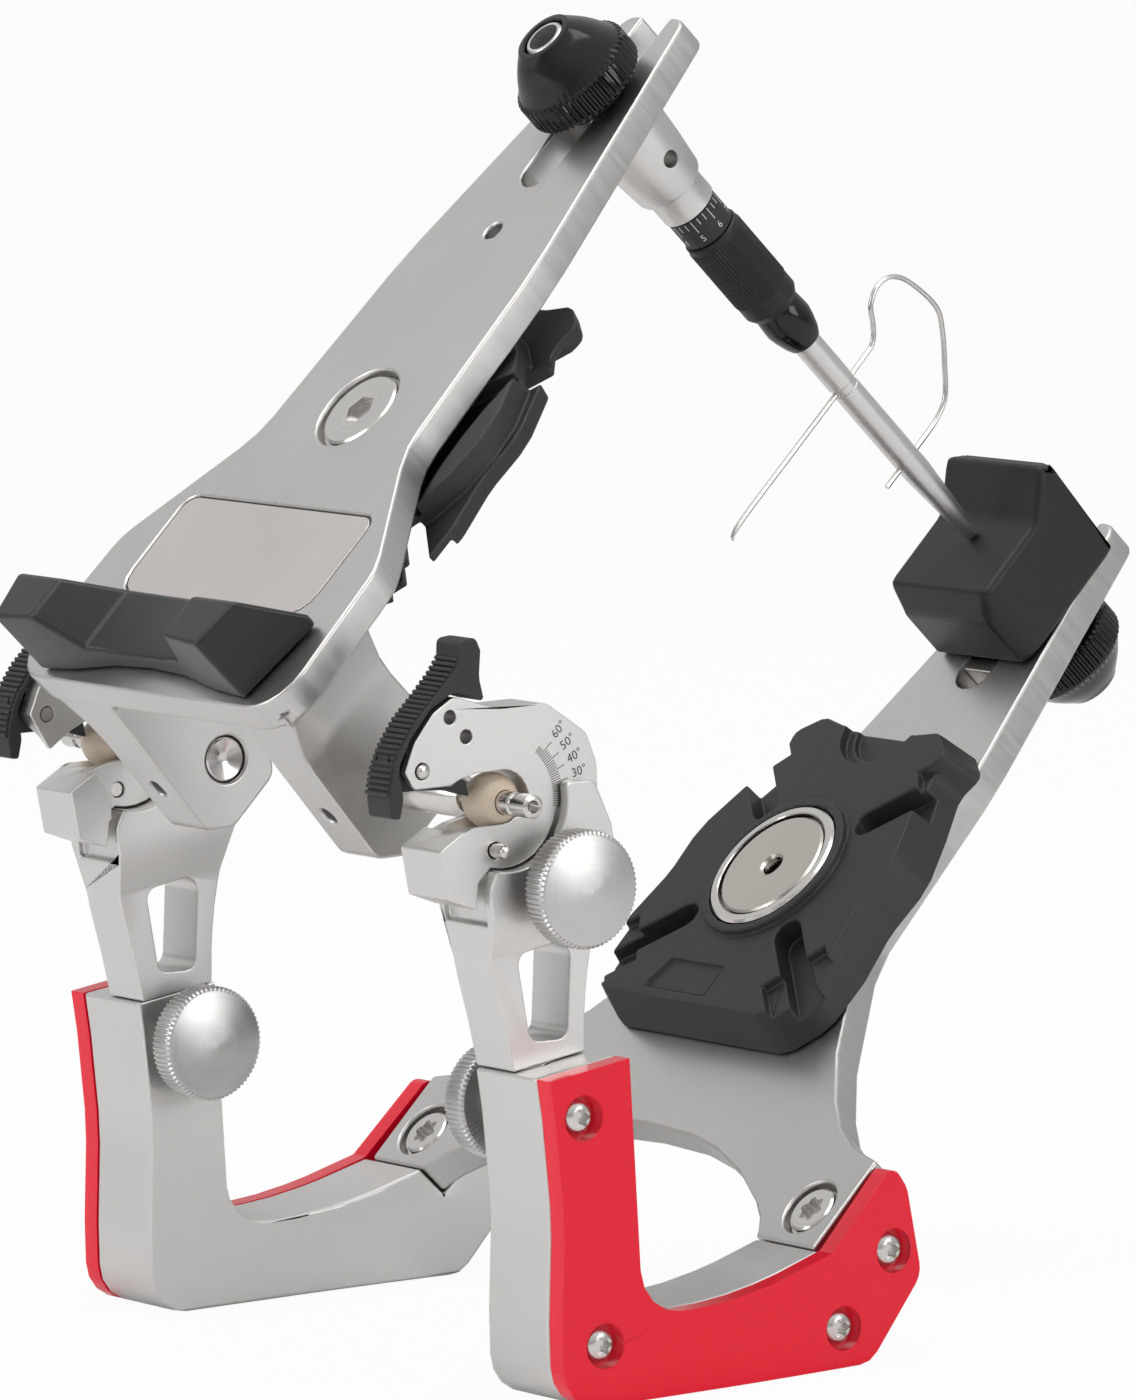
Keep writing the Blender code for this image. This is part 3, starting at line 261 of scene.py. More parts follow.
blasted = finish("blasted aluminium", (0.70, 0.69, 0.675), 0.38, 1.0, scale=5200, contrast=0.06, relief=0.012)
plate_grey = finish(
    "brushed plate", (0.60, 0.59, 0.575), 0.36, 1.0, BRUSHED, scale=5200, contrast=0.07, relief=0.008
)
turned_silver = finish(
    "turned aluminium", (0.58, 0.575, 0.565), 0.34, 1.0, TURNED,
    scale=7000, contrast=0.08, relief=0.003, Anisotropic=0.55,
)
bright_steel = finish(
    "bright steel", (0.66, 0.64, 0.62), 0.2, 1.0, TURNED, scale=5000, contrast=0.06, relief=0.003
)
magnet_steel = finish(
    "nickel plating", (0.56, 0.53, 0.49), 0.28, 1.0, scale=3000, contrast=0.05, relief=0.004
)
red_gloss = finish(
    "red moulding", (0.86, 0.004, 0.028), 0.14, scale=900, contrast=0.02, relief=0.001,
    Coat_Weight=0.15, Coat_Roughness=0.03, Specular_IOR_Level=0.3,
)
charcoal = finish(
    "charcoal moulding", (0.026, 0.0265, 0.029), 0.47,
    scale=3500, contrast=0.12, relief=0.02, Specular_IOR_Level=0.4,
)
matte_black = finish(
    "matte black", (0.015, 0.015, 0.016), 0.45,
    scale=2600, contrast=0.1, relief=0.008, Specular_IOR_Level=0.38,
)
saddle_black = finish(
    "saddle black", (0.020, 0.020, 0.021), 0.32,
    scale=5200, contrast=0.25, relief=0.04, Specular_IOR_Level=0.45,
)
knob_black = finish(
    "polished black", (0.006, 0.006, 0.007), 0.12,
    scale=900, contrast=0.03, relief=0.001, Specular_IOR_Level=0.42,
)
cream = finish("cream ball", (0.70, 0.58, 0.45), 0.32, scale=1500, contrast=0.04, relief=0.004)
ink = finish("dial ink", (0.06, 0.06, 0.06), 0.5, scale=2000, contrast=0.05, relief=0.002)
pale_ink = finish("pale dial ink", (0.62, 0.62, 0.60), 0.5, scale=2000, contrast=0.05, relief=0.002)
inlay = finish("plate inlay", (0.66, 0.62, 0.60), 0.42, 1.0, BRUSHED, scale=5200, contrast=0.05, relief=0.006)
# Black that stands in for shade: the painted shade in the groove round the name plate.
shadow_line = finish("shadow line", (0.02, 0.02, 0.02), 0.6, scale=2000, contrast=0.05, relief=0.002)
print("finishes:", len(bpy.data.materials))


# %% [markdown]
# Machined metal never has a perfectly sharp edge: a narrow rounding catches a bright line of light, and without it
# a render looks like cardboard. The solids keep sharp edges so that they stay light. Here each one is copied, its
# triangles are merged back into whole faces, and a Bevel modifier rounds its edges. The red covers are left without
# one, and keep the edges of their solids.


# %% Rounded copies of the solids
def stand_in(piece, node, material):
    """Lets a piece stand for a solid: it takes the solid's body and its own finish, and hides the solid."""
    if material is not None:
        piece.data.materials.clear()
        piece.data.materials.append(material)
    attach(piece, nodes[node]["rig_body"])
    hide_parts(node)
    return piece


def merged_copy(node):
    """A copy of a solid's mesh with its triangles joined into flat faces."""
    mesh = nodes[node].data.copy()
    shape = bmesh.new()
    shape.from_mesh(mesh)
    bmesh.ops.remove_doubles(shape, verts=shape.verts, dist=0.002 * MM)
    bmesh.ops.dissolve_limit(
        shape, angle_limit=math.radians(0.6), verts=shape.verts, edges=shape.edges,
        use_dissolve_boundaries=False,
    )
    bmesh.ops.recalc_face_normals(shape, faces=shape.faces)
    shape.to_mesh(mesh)
    shape.free()
    return mesh


def round_edges(piece, width, segments=2):
    """Rounds a piece's sharp edges, where it has no rounding of its own, and shades them smoothly."""
    if width:
        bevel = piece.modifiers.new("edge rounding", "BEVEL")
        bevel.width = width * MM
        bevel.segments = segments
        bevel.limit_method = "ANGLE"
        bevel.angle_limit = math.radians(38)
        bevel.use_clamp_overlap = False
    piece.data.shade_smooth()
    smooth = piece.modifiers.new("even shading", "WEIGHTED_NORMAL")
    smooth.keep_sharp = False
    return piece


def rounded_copy(node, material, width, segments=2):
    piece = bpy.data.objects.new(f"{node}_finished", merged_copy(node))
    bpy.context.scene.collection.objects.link(piece)
    round_edges(piece, width, segments)
    return stand_in(piece, node, material)


# %% The castings, plates and mouldings
rounding = {
    "upper_frame": (plate_grey, 0.55),
    "lower_frame": (plate_grey, 0.55),
    "rest_saddle": (saddle_black, 0.7),
    "upper_mounting_plate": (charcoal, 0.45),
    "lower_mounting_plate": (charcoal, 0.45),
    "incisal_table": (matte_black, 1.3),
    "table_key": (bright_steel, 0.3),
    "name_plate": (inlay, 0.12),
}
for word, _ in SIDES:
    rounding[f"arm_{word}"] = (blasted, 0.5)
    rounding[f"arm_cover_{word}"] = (red_gloss, 0)
    rounding[f"post_{word}"] = (blasted, 0.35)
    rounding[f"condylar_disc_{word}"] = (blasted, 0.22)
    rounding[f"centric_lever_{word}"] = (charcoal, 0.3)
for node, (material, width) in rounding.items():
    rounded_copy(node, material, width, 3 if width > 1 else 2)
print("rounded copies:", len(rounding))


# %% [markdown]
# The name plate is blank. A narrow groove runs round it, where the inlay meets the metal, and its shade shows as a
# fine dark line. A slightly larger and lower copy in black fills that groove, and draws the line as painted shade.


# %% The name plate's painted groove shade
low, high = extent("name_plate", PLATES)
middle, half = (low + high) / 2, (high - low) / 2
LINE = 0.27 * MM
larger = Matrix.Diagonal((1 + LINE / half.x, 1 + LINE / half.y, 0.8, 1))
about = PLATES @ Matrix.Translation(middle)
# Painted shade: a black copy in the groove round the inlay stands in for the shade in that groove.
outline = bpy.data.objects.new("name_plate_painted_groove_shade", nodes["name_plate"].data.copy())
bpy.context.scene.collection.objects.link(outline)
outline.data.transform(about @ larger @ about.inverted())
outline.data.materials.clear()
outline.data.materials.append(shadow_line)
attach(outline, nodes["name_plate"]["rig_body"])
print("inlay", [round(side / MM * 2, 1) for side in half], "mm")


# %% [markdown]
# Turned pieces come off a lathe: a profile swept round an axis. The solids use few sides, so each is turned again
# here with many. Where the profile is marked as knurled, the radius steps in and out round the circle, which
# gives real teeth that catch the light and break up the outline.


# %% The lathe
def turned_piece(name, profile, place, sides=96, teeth=0, depth=0.0):
    """Turns a closed profile of (radius, height, knurled) in millimetres round the place's Z axis."""
    if teeth:
        sides = teeth * 4
    shape = bmesh.new()
    rings = []
    for radius, height, knurled in profile:
        if radius == 0:
            rings.append([shape.verts.new((0, 0, height * MM))])
            continue
        ring = []
        for k in range(sides):
            cut = depth if knurled and teeth and k % 4 >= 2 else 0
            turn = 2 * math.pi * k / sides
            reach = (radius - cut) * MM
            ring.append(shape.verts.new((reach * math.cos(turn), reach * math.sin(turn), height * MM)))
        rings.append(ring)
    closed = profile[0][0] > 0 and profile[-1][0] > 0
    pairs = list(zip(rings, rings[1:])) + ([(rings[-1], rings[0])] if closed else [])
    for lower, upper in pairs:
        for k in range(sides):
            following = (k + 1) % sides
            corners = [lower[k % len(lower)], lower[following % len(lower)]]
            corners += [upper[following % len(upper)], upper[k % len(upper)]]
            corners = list(dict.fromkeys(corners))
            if len(corners) > 2:
                shape.faces.new(corners)
    bmesh.ops.recalc_face_normals(shape, faces=shape.faces)
    mesh = bpy.data.meshes.new(name)
    shape.to_mesh(mesh)
    shape.free()
    mesh.shade_smooth()
    mesh.set_sharp_from_angle(angle=math.radians(28))
    piece = bpy.data.objects.new(name, mesh)
    bpy.context.scene.collection.objects.link(piece)
    piece.matrix_world = place
    return piece


def plain(*points):
    """A profile with no knurling."""
    return [(radius, height, False) for radius, height in points]


def cut(piece, other):
    """Cuts a piece by another, at once."""
    modifier = piece.modifiers.new("cut", "BOOLEAN")
    modifier.object = other
    bpy.context.view_layer.update()
    made = bpy.data.meshes.new_from_object(piece.evaluated_get(bpy.context.evaluated_depsgraph_get()))
    piece.modifiers.clear()
    piece.data = made
    bpy.data.objects.remove(other)
    made.shade_smooth()
    made.set_sharp_from_angle(angle=math.radians(28))
    return piece


# %% [markdown]
# The black knobs clamp the incisal pin and the table in the forks. Each is a slightly bulging polished cone over a
# coarse knurled band, on a smaller collar.


# %% Black clamp knobs
def black_knob(node, place, base, tip, up, bore):
    """A conical knob from its collar's base to its tip; up is +1 or -1 along the place's Z."""
    reach = extent(node, place)[1].x / MM

    def at(height):
        return base + up * height

    full = (tip - base) * up
    profile = [(bore, at(0), False), (7.0, at(0), False), (7.3, at(0.3), False), (7.3, at(1.6), False)]
    profile += [(reach - 1.0, at(1.75), False), (reach - 0.25, at(2.1), True), (reach, at(2.5), True)]
    profile += [(reach, at(6.5), True), (reach - 0.2, at(6.9), True), (reach - 0.75, at(7.3), False)]
    for k in range(1, 6):
        share = k / 6
        radius = reach - 1.0 + (5.3 - reach + 1.0) * share + 0.35 * math.sin(math.pi * share)
        profile.append((radius, at(7.5 + (full - 8.1) * share), False))
    profile += [(5.2, at(full - 0.5), False), (4.95, at(full - 0.1), False), (4.6, at(full), False)]
    if bore:
        profile += [(bore + 0.2, at(full), False), (bore, at(full - 0.3), False)]
    else:
        profile.append((0, at(full), False))
    if not bore:
        profile = [(0, at(0), False)] + profile[1:]
    return turned_piece(f"{node}_turned", profile, place, teeth=52, depth=0.42)


low, high = extent("pin_clamp_knob", PIN)
knob = black_knob("pin_clamp_knob", PIN, low.z / MM, high.z / MM, 1, 3.8)
stand_in(knob, "pin_clamp_knob", knob_black)
TABLE = PLATES @ Matrix.Translation((0, (Vector(joints["table_knob_turn"]["pos_m"]) - hinge).dot(along), 0))
under = extent("lower_frame", PLATES)[0].z / MM - 0.3
low, high = extent("table_clamp_knob", TABLE)
knob = black_knob("table_clamp_knob", TABLE, under, low.z / MM, -1, 0)
stem_profile = plain((0, high.z / MM), (2.5, high.z / MM), (2.5, under - 1), (0, under - 1))
stem = turned_piece("table_clamp_stem", stem_profile, TABLE, 48)
stand_in(knob, "table_clamp_knob", knob_black)
stem.data.materials.append(bright_steel)
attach(stem, nodes["table_clamp_knob"]["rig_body"])


# %% [markdown]
# Four silver thumb knobs clamp the condylar discs and the swivelling posts. Their faces are shallow turned cones
# that shine in a bow-tie of light, and their rims have about seventy fine teeth.


# %% Silver thumb knobs
def silver_knob(node, joint, hub):
    start = Vector(joints[joint]["pos_m"])
    place = frame_from(start, joints[joint]["axis"], (0, 0, 1))
    low, high = extent(node, place)
    tip, end = high.z / MM, low.z / MM
    reach = high.x / MM
    lip = tip - 1.6
    rim = lip - 4.8
    profile = [(0, tip, False), (0.6, tip - 0.02, False), (reach - 1.1, lip + 0.12, False)]
    profile += [(reach - 0.6, lip - 0.05, False), (reach - 0.15, lip - 0.4, True), (reach, lip - 0.75, True)]
    profile += [(reach, rim + 0.6, True), (reach - 0.2, rim + 0.25, True), (reach - 0.9, rim, False)]
    profile += plain((4.5, rim), (4.5, rim - hub), (2.4, rim - hub), (2.4, end), (0, end))
    piece = turned_piece(f"{node}_turned", profile, place, teeth=68, depth=0.3)
    return stand_in(piece, node, turned_silver)


for word, _ in SIDES:
    silver_knob(f"disc_clamp_knob_{word}", f"disc_knob_{word}_turn", 2.2)
    silver_knob(f"swivel_clamp_knob_{word}", f"swivel_knob_{word}_turn", 3.7)
print("knobs turned")


# %% [markdown]
# The incisal pin is a stack on one axis: a silver holder, a ring with the height scale, a knurled sleeve that
# winds the rod up and down, a collet nut, and the rod with its fine tip.


# %% The incisal pin's turned pieces
def heights(node):
    low, high = extent(node, PIN)
    return low.z / MM, high.z / MM


low, high = heights("pin_holder")
collar = extent("upper_frame", PIN)[1].z / MM - 5.6 - 0.3
bore = 2.75
holder = turned_piece(
    "pin_holder_turned",
    plain(
        (bore, high), (3.2, high), (3.5, high - 0.3), (3.5, collar), (7.0, collar),
        (7.2, collar - 0.25), (7.15, collar - 3), (6.75, collar - 8.4), (6.05, 10.9), (5.75, 10.3),
        (5.1, 10.0), (4.9, 9.6), (4.9, low), (bore, low),
    ),
    PIN,
)
across = PIN @ Matrix.Translation((0, 0, 16.8 * MM)) @ Matrix.Rotation(math.pi / 2, 4, "Y")
drill = turned_piece("drill", plain((0, 12), (1.5, 12), (1.5, -12), (0, -12)), across, 48)
stand_in(cut(holder, drill), "pin_holder", blasted)

low, high = heights("scale_ring")
ring_profile = plain((bore, high), (4.45, high), (4.65, high - 0.2), (4.65, low), (bore, low))
ring = turned_piece("scale_ring_turned", ring_profile, PIN)
stand_in(ring, "scale_ring", charcoal)
ring_middle = (low + high) / 2

low, high = heights("pin_sleeve")
profile = [(bore, high, False), (4.7, high, False), (5.0, high - 0.25, False), (5.05, high - 1.3, False)]
profile += [(5.2, high - 1.5, True), (5.2, low + 4.2, True)]
profile += [(5.05, low + 4.0, False), (5.05, low + 1.2, False), (4.4, low, False), (bore, low, False)]
sleeve = turned_piece("pin_sleeve_turned", profile, PIN, teeth=56, depth=0.16)
stand_in(sleeve, "pin_sleeve", matte_black)

low, high = heights("collet_nut")
nut = turned_piece(
    "collet_nut_turned",
    plain(
        (bore, high), (3.9, high), (4.15, high - 0.6), (4.3, high - 2.6), (4.35, high - 3.8),
        (4.1, high - 5.2), (3.5, low + 1.2), (2.95, low), (bore, low),
    ),
    PIN,
)
stand_in(nut, "collet_nut", knob_black)

low, high = heights("incisal_rod")
rod_profile = plain((0, high), (2.45, high), (2.45, -38.6), (2.3, -38.8), (2.3, -40.0), (2.45, -40.2))
rod_profile += plain((2.45, -61.0), (1.9, -69.0), (1.3, low + 0.7), (1.1, low + 0.25), (0.8, low), (0, low))
stand_in(turned_piece("incisal_rod_turned", rod_profile, PIN, 64), "incisal_rod", blasted)
print("incisal pin turned")


# %% [markdown]
# The pointer is a single bent wire: a long pointed leg, a loop and a short stub. A curve with a round bevel is the
# natural way to draw it, because it needs few points and the wire stays the same thickness through each bend.


# %% The wire pointer
def smooth_path(points, per_span):
    """Points of a smooth line through a route."""
    ends = [points[0]] + points + [points[-1]]
    path = []
    for a, b, c, d in zip(ends, ends[1:], ends[2:], ends[3:]):
        for k in range(per_span):
            t = k / per_span
            spot = 2 * b + (c - a) * t
            spot = spot + (2 * a - 5 * b + 4 * c - d) * t**2
            spot = spot + (3 * b - a - 3 * c + d) * t**3
            path.append(0.5 * spot)
    return path + [points[-1]]


low, high = extent("wire_pointer", PLATES)
WIRE_R = (high.x - low.x) / MM / 2
LEG, STUB = -39.4, -58.2  # heights of the wire's two straight ends
route = [(low.y / MM + 0.2, LEG - 1.0), (87.4, LEG), (105, LEG), (123.5, LEG), (127.4, -39.0), (129.6, -37.0)]
route += [(131.6, -34.4), (135.0, -33.2), (138.0, -34.4), (139.8, -37.8), (140.6, -44.6), (138.6, -48.6)]
route += [(134.6, -53.2), (131.0, -56.8), (127.4, -58.0), (123.5, STUB), (112.0, STUB)]
path = smooth_path([Vector((0, y, z)) for y, z in route], 8)
curve = bpy.data.curves.new("wire", "CURVE")
curve.dimensions = "3D"
curve.bevel_depth = WIRE_R * MM
curve.bevel_resolution = 4
curve.use_fill_caps = True
line = curve.splines.new("POLY")
line.points.add(len(path) - 1)
for number, (point, spot) in enumerate(zip(line.points, path)):
    point.co = (*(spot * MM), 1)
    point.radius = min(1.0, 0.25 + 0.1 * number)
holder = bpy.data.objects.new("wire", curve)
bpy.context.scene.collection.objects.link(holder)
bpy.context.view_layer.update()
mesh = bpy.data.meshes.new_from_object(holder.evaluated_get(bpy.context.evaluated_depsgraph_get()))
bpy.data.objects.remove(holder)
mesh.shade_smooth()
pointer = bpy.data.objects.new("wire_pointer_drawn", mesh)
bpy.context.scene.collection.objects.link(pointer)
pointer.matrix_world = PLATES
stand_in(pointer, "wire_pointer", bright_steel)


# %% [markdown]
# The magnet that holds a cast's plate is a nickel-plated disc in a steel cup, with a small screw in the middle.


# %% The magnet
MOUNT = PLATES @ Matrix.Translation((0, sum(extent("magnet_cup", PLATES), Vector()).y / 2, 0))


def mount_heights(node):
    low, high = extent(node, MOUNT)
    return low.z / MM, high.z / MM


low, high = mount_heights("magnet_cup")
wall = 10.9
cup = turned_piece(
    "magnet_cup_turned",
    plain(
        (wall, high - 0.15), (wall + 0.2, high), (12.2, high), (12.6, high - 0.4),
        (12.6, low), (2.4, low), (2.4, low + 1.2), (wall, low + 1.2),
    ),
    MOUNT,
)
stand_in(cup, "magnet_cup", bright_steel)
low, high = mount_heights("magnet_disc")
disc = turned_piece(
    "magnet_disc_turned",
    plain((1.9, high - 0.5), (2.4, high - 0.1), (10.0, high), (10.4, high - 0.3), (10.4, low), (2.4, low)),
    MOUNT,
)
stand_in(disc, "magnet_disc", magnet_steel)
rounded_copy("magnet_screw", bright_steel, 0.1)


# %% [markdown]
# Screw heads sell the scale of a small object. The cover screws and the leg screws have a six-lobed socket, cut
# with a cutter whose radius swings in and out six times round. The big screw in the upper plate has a plain
# hexagon socket.


# %% Screws
def socket(place, outer, inner, lobes, top, bottom):
    """A cutter for a screw's socket: with inner equal to outer it is a hexagon."""
    shape = bmesh.new()
    count = 6 if not lobes else 60
    rings = []
    for height in (bottom, top):
        ring = []
        for k in range(count):
            turn = 2 * math.pi * k / count
            radius = outer
            if lobes:
                radius = (outer + inner) / 2 + (outer - inner) / 2 * math.cos(lobes * turn)
            x, y = radius * MM * math.cos(turn), radius * MM * math.sin(turn)
            ring.append(shape.verts.new((x, y, height * MM)))
        rings.append(ring)
        shape.faces.new(ring)
    for k in range(count):
        following = (k + 1) % count
        shape.faces.new((rings[0][k], rings[0][following], rings[1][following], rings[1][k]))
    bmesh.ops.recalc_face_normals(shape, faces=shape.faces)
    mesh = bpy.data.meshes.new("socket")
    shape.to_mesh(mesh)
    shape.free()
    cutter = bpy.data.objects.new("socket", mesh)
    bpy.context.scene.collection.objects.link(cutter)
    cutter.matrix_world = place
    return cutter


def cover_screw(node, side):
    low, high = extent(node)
    middle = ((low.x + high.x) / 2, (low.y + high.y) / 2, (low.z + high.z) / 2)
    place = frame_from(middle, (side, 0, 0), (0, 0, 1))
    top = (high.x - low.x) / MM / 2
    head = turned_piece(
        f"{node}_turned",
        plain((0, top), (1.5, top), (2.15, top - 0.25), (2.6, top - 0.65), (2.6, -top), (0, -top)),
        place,
        48,
    )
    cut(head, socket(place, 1.6, 1.15, 6, top + 1, -top + 0.25))
    return stand_in(head, node, bright_steel)


for word, side in SIDES:
    for number in range(1, 5):
        cover_screw(f"cover_screw_{word}_{number}", side)
    node = f"leg_screw_{word}"
    low, high = extent(node, PLATES)
    place = PLATES @ Matrix.Translation(((low.x + high.x) / 2, (low.y + high.y) / 2, 0))
    top, bottom = high.z / MM, low.z / MM
    head = turned_piece(
        f"{node}_turned",
        plain(
            (0, top), (3.9, top), (4.3, top - 0.25), (4.3, top - 1.7),
            (2.1, top - 1.7), (2.1, bottom), (0, bottom),
        ),
        place,
        64,
    )
    cut(head, socket(place, 2.5, 1.8, 6, top + 1, top - 1.5))
    stand_in(head, node, bright_steel)

low, high = extent("centre_screw", PLATES)
place = PLATES @ Matrix.Translation(((low.x + high.x) / 2, (low.y + high.y) / 2, 0))
top, bottom = high.z / MM, low.z / MM
head = turned_piece(
    "centre_screw_turned",
    plain(
        (0, top - 0.1), (2.4, top - 0.1), (3.9, top), (6.9, top), (7.3, top - 0.3),
        (7.3, top - 1.6), (3.0, top - 1.6), (3.0, bottom), (0, bottom),
    ),
    place,
)
cut(head, socket(place, 2.9, 2.9, 0, top + 1, top - 1.4))
stand_in(head, "centre_screw", bright_steel)
print("screws turned")


# %% [markdown]
# The upper frame hangs on two cream balls. Each sits on a turned steel stud that runs out from the frame's ear.


# %% Balls, studs and pins
BALL_FROM_MIDDLE = 55
BALL_BORE = 2.0
for word, side in SIDES:
    node = f"condyle_axle_{word}"
    place = frame_from(hinge, (side, 0, 0), (0, 0, 1))
    low, high = extent(node, place)
    start, end = low.z / MM, high.z / MM
    stud = turned_piece(
        f"{node}_turned",
        plain(
            (0, start + 0.75), (0.8, start + 0.75), (1.2, start + 0.6), (3.3, start), (3.6, start + 0.25),
            (3.6, start + 1.4), (2.6, start + 1.4), (2.6, start + 10.6), (3.4, start + 10.7),
            (3.4, 47.0), (3.2, 47.4), (2.5, 49.2), (1.9, 49.3), (1.9, end - 5.2), (1.55, end - 5.0),
            (1.55, end - 4.2), (1.9, end - 4.0), (1.9, end - 0.5), (1.6, end - 0.1),
            (1.3, end), (1.0, end - 0.2), (1.0, end - 2.5), (0, end - 2.5),
        ),
        place,
        64,
    )
    stand_in(stud, node, bright_steel)
    centre = hinge + Vector((side * BALL_FROM_MIDDLE * MM, 0, 0))
    radius = extent(f"condyle_ball_{word}", Matrix.Translation(centre))[1].z / MM
    turns = [math.radians(a) for a in range(-63, 64, 7)]
    arc = [(radius * math.cos(turn), radius * math.sin(turn), False) for turn in turns]
    ball_profile = [(BALL_BORE, arc[0][1], False)] + arc + [(BALL_BORE, arc[-1][1], False)]
    ball_place = frame_from(centre, (1, 0, 0), (0, 0, 1))
    ball = turned_piece(f"condyle_ball_{word}_turned", ball_profile, ball_place, 64)
    stand_in(ball, f"condyle_ball_{word}", cream)
    for pin in (f"stop_pin_{word}", f"lever_pin_{word}"):
        rounded_copy(pin, bright_steel, 0.05, 1)
print("balls and studs turned")


# %% [markdown]
# The dial marks are engraved and filled with dark ink. Thin slivers of geometry that lie a hair's breadth above
# the metal read the same, and they stay sharp from close by. Each condylar disc has a line every two degrees
# along its round part, and numbers from 30 to 60.


# %% Helpers for marks
def sliver(shape, place, length, width, thick=0.03):
    """Adds a flat bar to a mesh: its length runs along the place's X, from its start."""
    size = Matrix.Diagonal((length * MM, width * MM, thick * MM, 1))
    middle = Matrix.Translation((length * MM / 2, 0, 0))
    bmesh.ops.create_cube(shape, size=1, matrix=place @ middle @ size)


def mesh_piece(name, shape, material, body):
    mesh = bpy.data.meshes.new(name)
    shape.to_mesh(mesh)
    shape.free()
    piece = bpy.data.objects.new(name, mesh)
    bpy.context.scene.collection.objects.link(piece)
    mesh.materials.append(material)
    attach(piece, body)
    return piece


def add_text(shape, body, size, place, wrap=0.0):
    """Adds the outline of a short text to a mesh; wrap is the radius of a cylinder to lay it on."""
    curve = bpy.data.curves.new("text", "FONT")
    curve.body = body
    curve.size = size * MM
    curve.extrude = 0.012 * MM
    curve.align_x = "CENTER"
    curve.align_y = "CENTER"
    curve.resolution_u = 3
    holder = bpy.data.objects.new("text", curve)
    bpy.context.scene.collection.objects.link(holder)
    bpy.context.view_layer.update()
    mesh = bpy.data.meshes.new_from_object(holder.evaluated_get(bpy.context.evaluated_depsgraph_get()))
    bpy.data.objects.remove(holder)
    if wrap:
        for vertex in mesh.vertices:
            turn = vertex.co.x / (wrap * MM)
            lift = wrap * MM + vertex.co.z
            vertex.co = Vector((lift * math.sin(turn), vertex.co.y, lift * math.cos(turn) - wrap * MM))
    mesh.transform(place)
    shape.from_mesh(mesh)
    bpy.data.meshes.remove(mesh)


# %% Dials on the condylar discs
FIRST_MARK = 12.0
TICKS_FROM_CENTRE = 9.7
NUMBERS_FROM_CENTRE = 15.2
for word, side in SIDES:
    centre = hinge + Vector((side * BALL_FROM_MIDDLE * MM, 0, 0))
    low, high = extent(f"condylar_disc_{word}")
    face = (high.x if side > 0 else low.x) + side * 0.02 * MM
    shape = bmesh.new()
    for tick in range(-20, 37, 2):
        angle = math.radians(FIRST_MARK + tick)
        out = Vector((0, math.cos(angle), math.sin(angle)))
        place = frame_from((face, centre.y, centre.z), (side, 0, 0), out.cross((side, 0, 0)) * -1)
        length = 1.3
        if 0 <= tick <= 30:
            length = 3.2 if tick % 10 == 0 else 1.8
        shift = Matrix.Translation((TICKS_FROM_CENTRE * MM, 0, 0))
        if place.col[0].to_3d().dot(out) <= 0:
            shift = Matrix.Translation((-TICKS_FROM_CENTRE * MM, 0, 0)) @ Matrix.Rotation(math.pi, 4, "Z")
        sliver(shape, place @ shift, length, 0.12)
    for tick in (0, 10, 20, 30):
        angle = math.radians(FIRST_MARK + tick + 1.5)
        reach = NUMBERS_FROM_CENTRE * MM
        spot = Vector((face, centre.y + reach * math.cos(angle), centre.z + reach * math.sin(angle)))
        right = Vector((0, side * math.cos(angle), side * math.sin(angle)))
        up = Vector((side, 0, 0)).cross(right)
        place = Matrix.Translation(spot) @ Matrix((right, up, Vector((side, 0, 0)))).transposed().to_4x4()
        add_text(shape, f"{30 + tick}°", 2.1, place)
    mesh_piece(f"dial_marks_{word}", shape, ink, nodes[f"condylar_disc_{word}"]["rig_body"])
print("dials marked")


# %% Marks on the scale ring
RING_FACE = 4.66
shape = bmesh.new()
for tick in range(24):
    turn = math.radians(15 * tick)
    out = Vector((math.cos(turn), math.sin(turn), 0))
    place = PIN @ frame_from(out * RING_FACE * MM + Vector((0, 0, ring_middle * MM)), out, (0, 0, 1))
    long = tick % 3 == 0
    offset = 0.1 if long else 1.2
    start = place @ Matrix.Rotation(math.pi / 2, 4, "Z") @ Matrix.Translation((offset * MM, 0, 0))
    sliver(shape, start, 2.5 if long else 1.3, 0.16)
    if long:
        digit = Matrix.Translation((0, -1.3 * MM, 0.02 * MM))
        add_text(shape, str(1 + (tick // 3 + 5) % 8), 1.7, place @ digit, wrap=RING_FACE)
mesh_piece("scale_ring_marks", shape, pale_ink, nodes["scale_ring"]["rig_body"])
print("scale ring marked")


# %% [markdown]
# A thumb lever needs grip. A row of small rounded ribs follows its back, from the top end down the curve.


# %% Lever ribs
BACK_CURVE = (
    (-7.7, 23.0), (-9.3, 20.8), (-12.4, 17.6), (-16.3, 13.9), (-19.0, 10.2), (-20.8, 6.4), (-21.5, 3.0),
)
RIB_SPACING = 0.95
RIB_R = 0.36


def points_along(route, step):
    """Points and directions at even steps along a broken line."""
    made = []
    left = 0.0
    for a, b in zip(route, route[1:]):
        a, b = Vector(a), Vector(b)
        length = (b - a).length
        while left < length:
            made.append((a + (b - a) * left / length, (b - a).normalized()))
            left += step
        left -= length
    return made


for word, side in SIDES:
    low, high = extent(f"centric_lever_{word}")
    inner, outer = (low.x + 0.35 * MM, high.x - 0.35 * MM)
    shape = bmesh.new()
    for spot, _ in points_along(BACK_CURVE, RIB_SPACING):
        place = Matrix.Translation(((inner + outer) / 2, hinge.y + spot.x * MM, hinge.z + spot.y * MM))
        place = place @ Matrix.Rotation(math.pi / 2, 4, "Y")
        bmesh.ops.create_cone(
            shape, cap_ends=True, segments=12, radius1=RIB_R * MM, radius2=RIB_R * MM,
            depth=outer - inner, matrix=place,
        )
    lever = nodes[f"centric_lever_{word}"]
    ribs = mesh_piece(f"lever_ribs_{word}", shape, charcoal, lever["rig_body"])
    ribs.data.shade_smooth()
    ribs.data.set_sharp_from_angle(angle=math.radians(50))
print("levers ribbed")


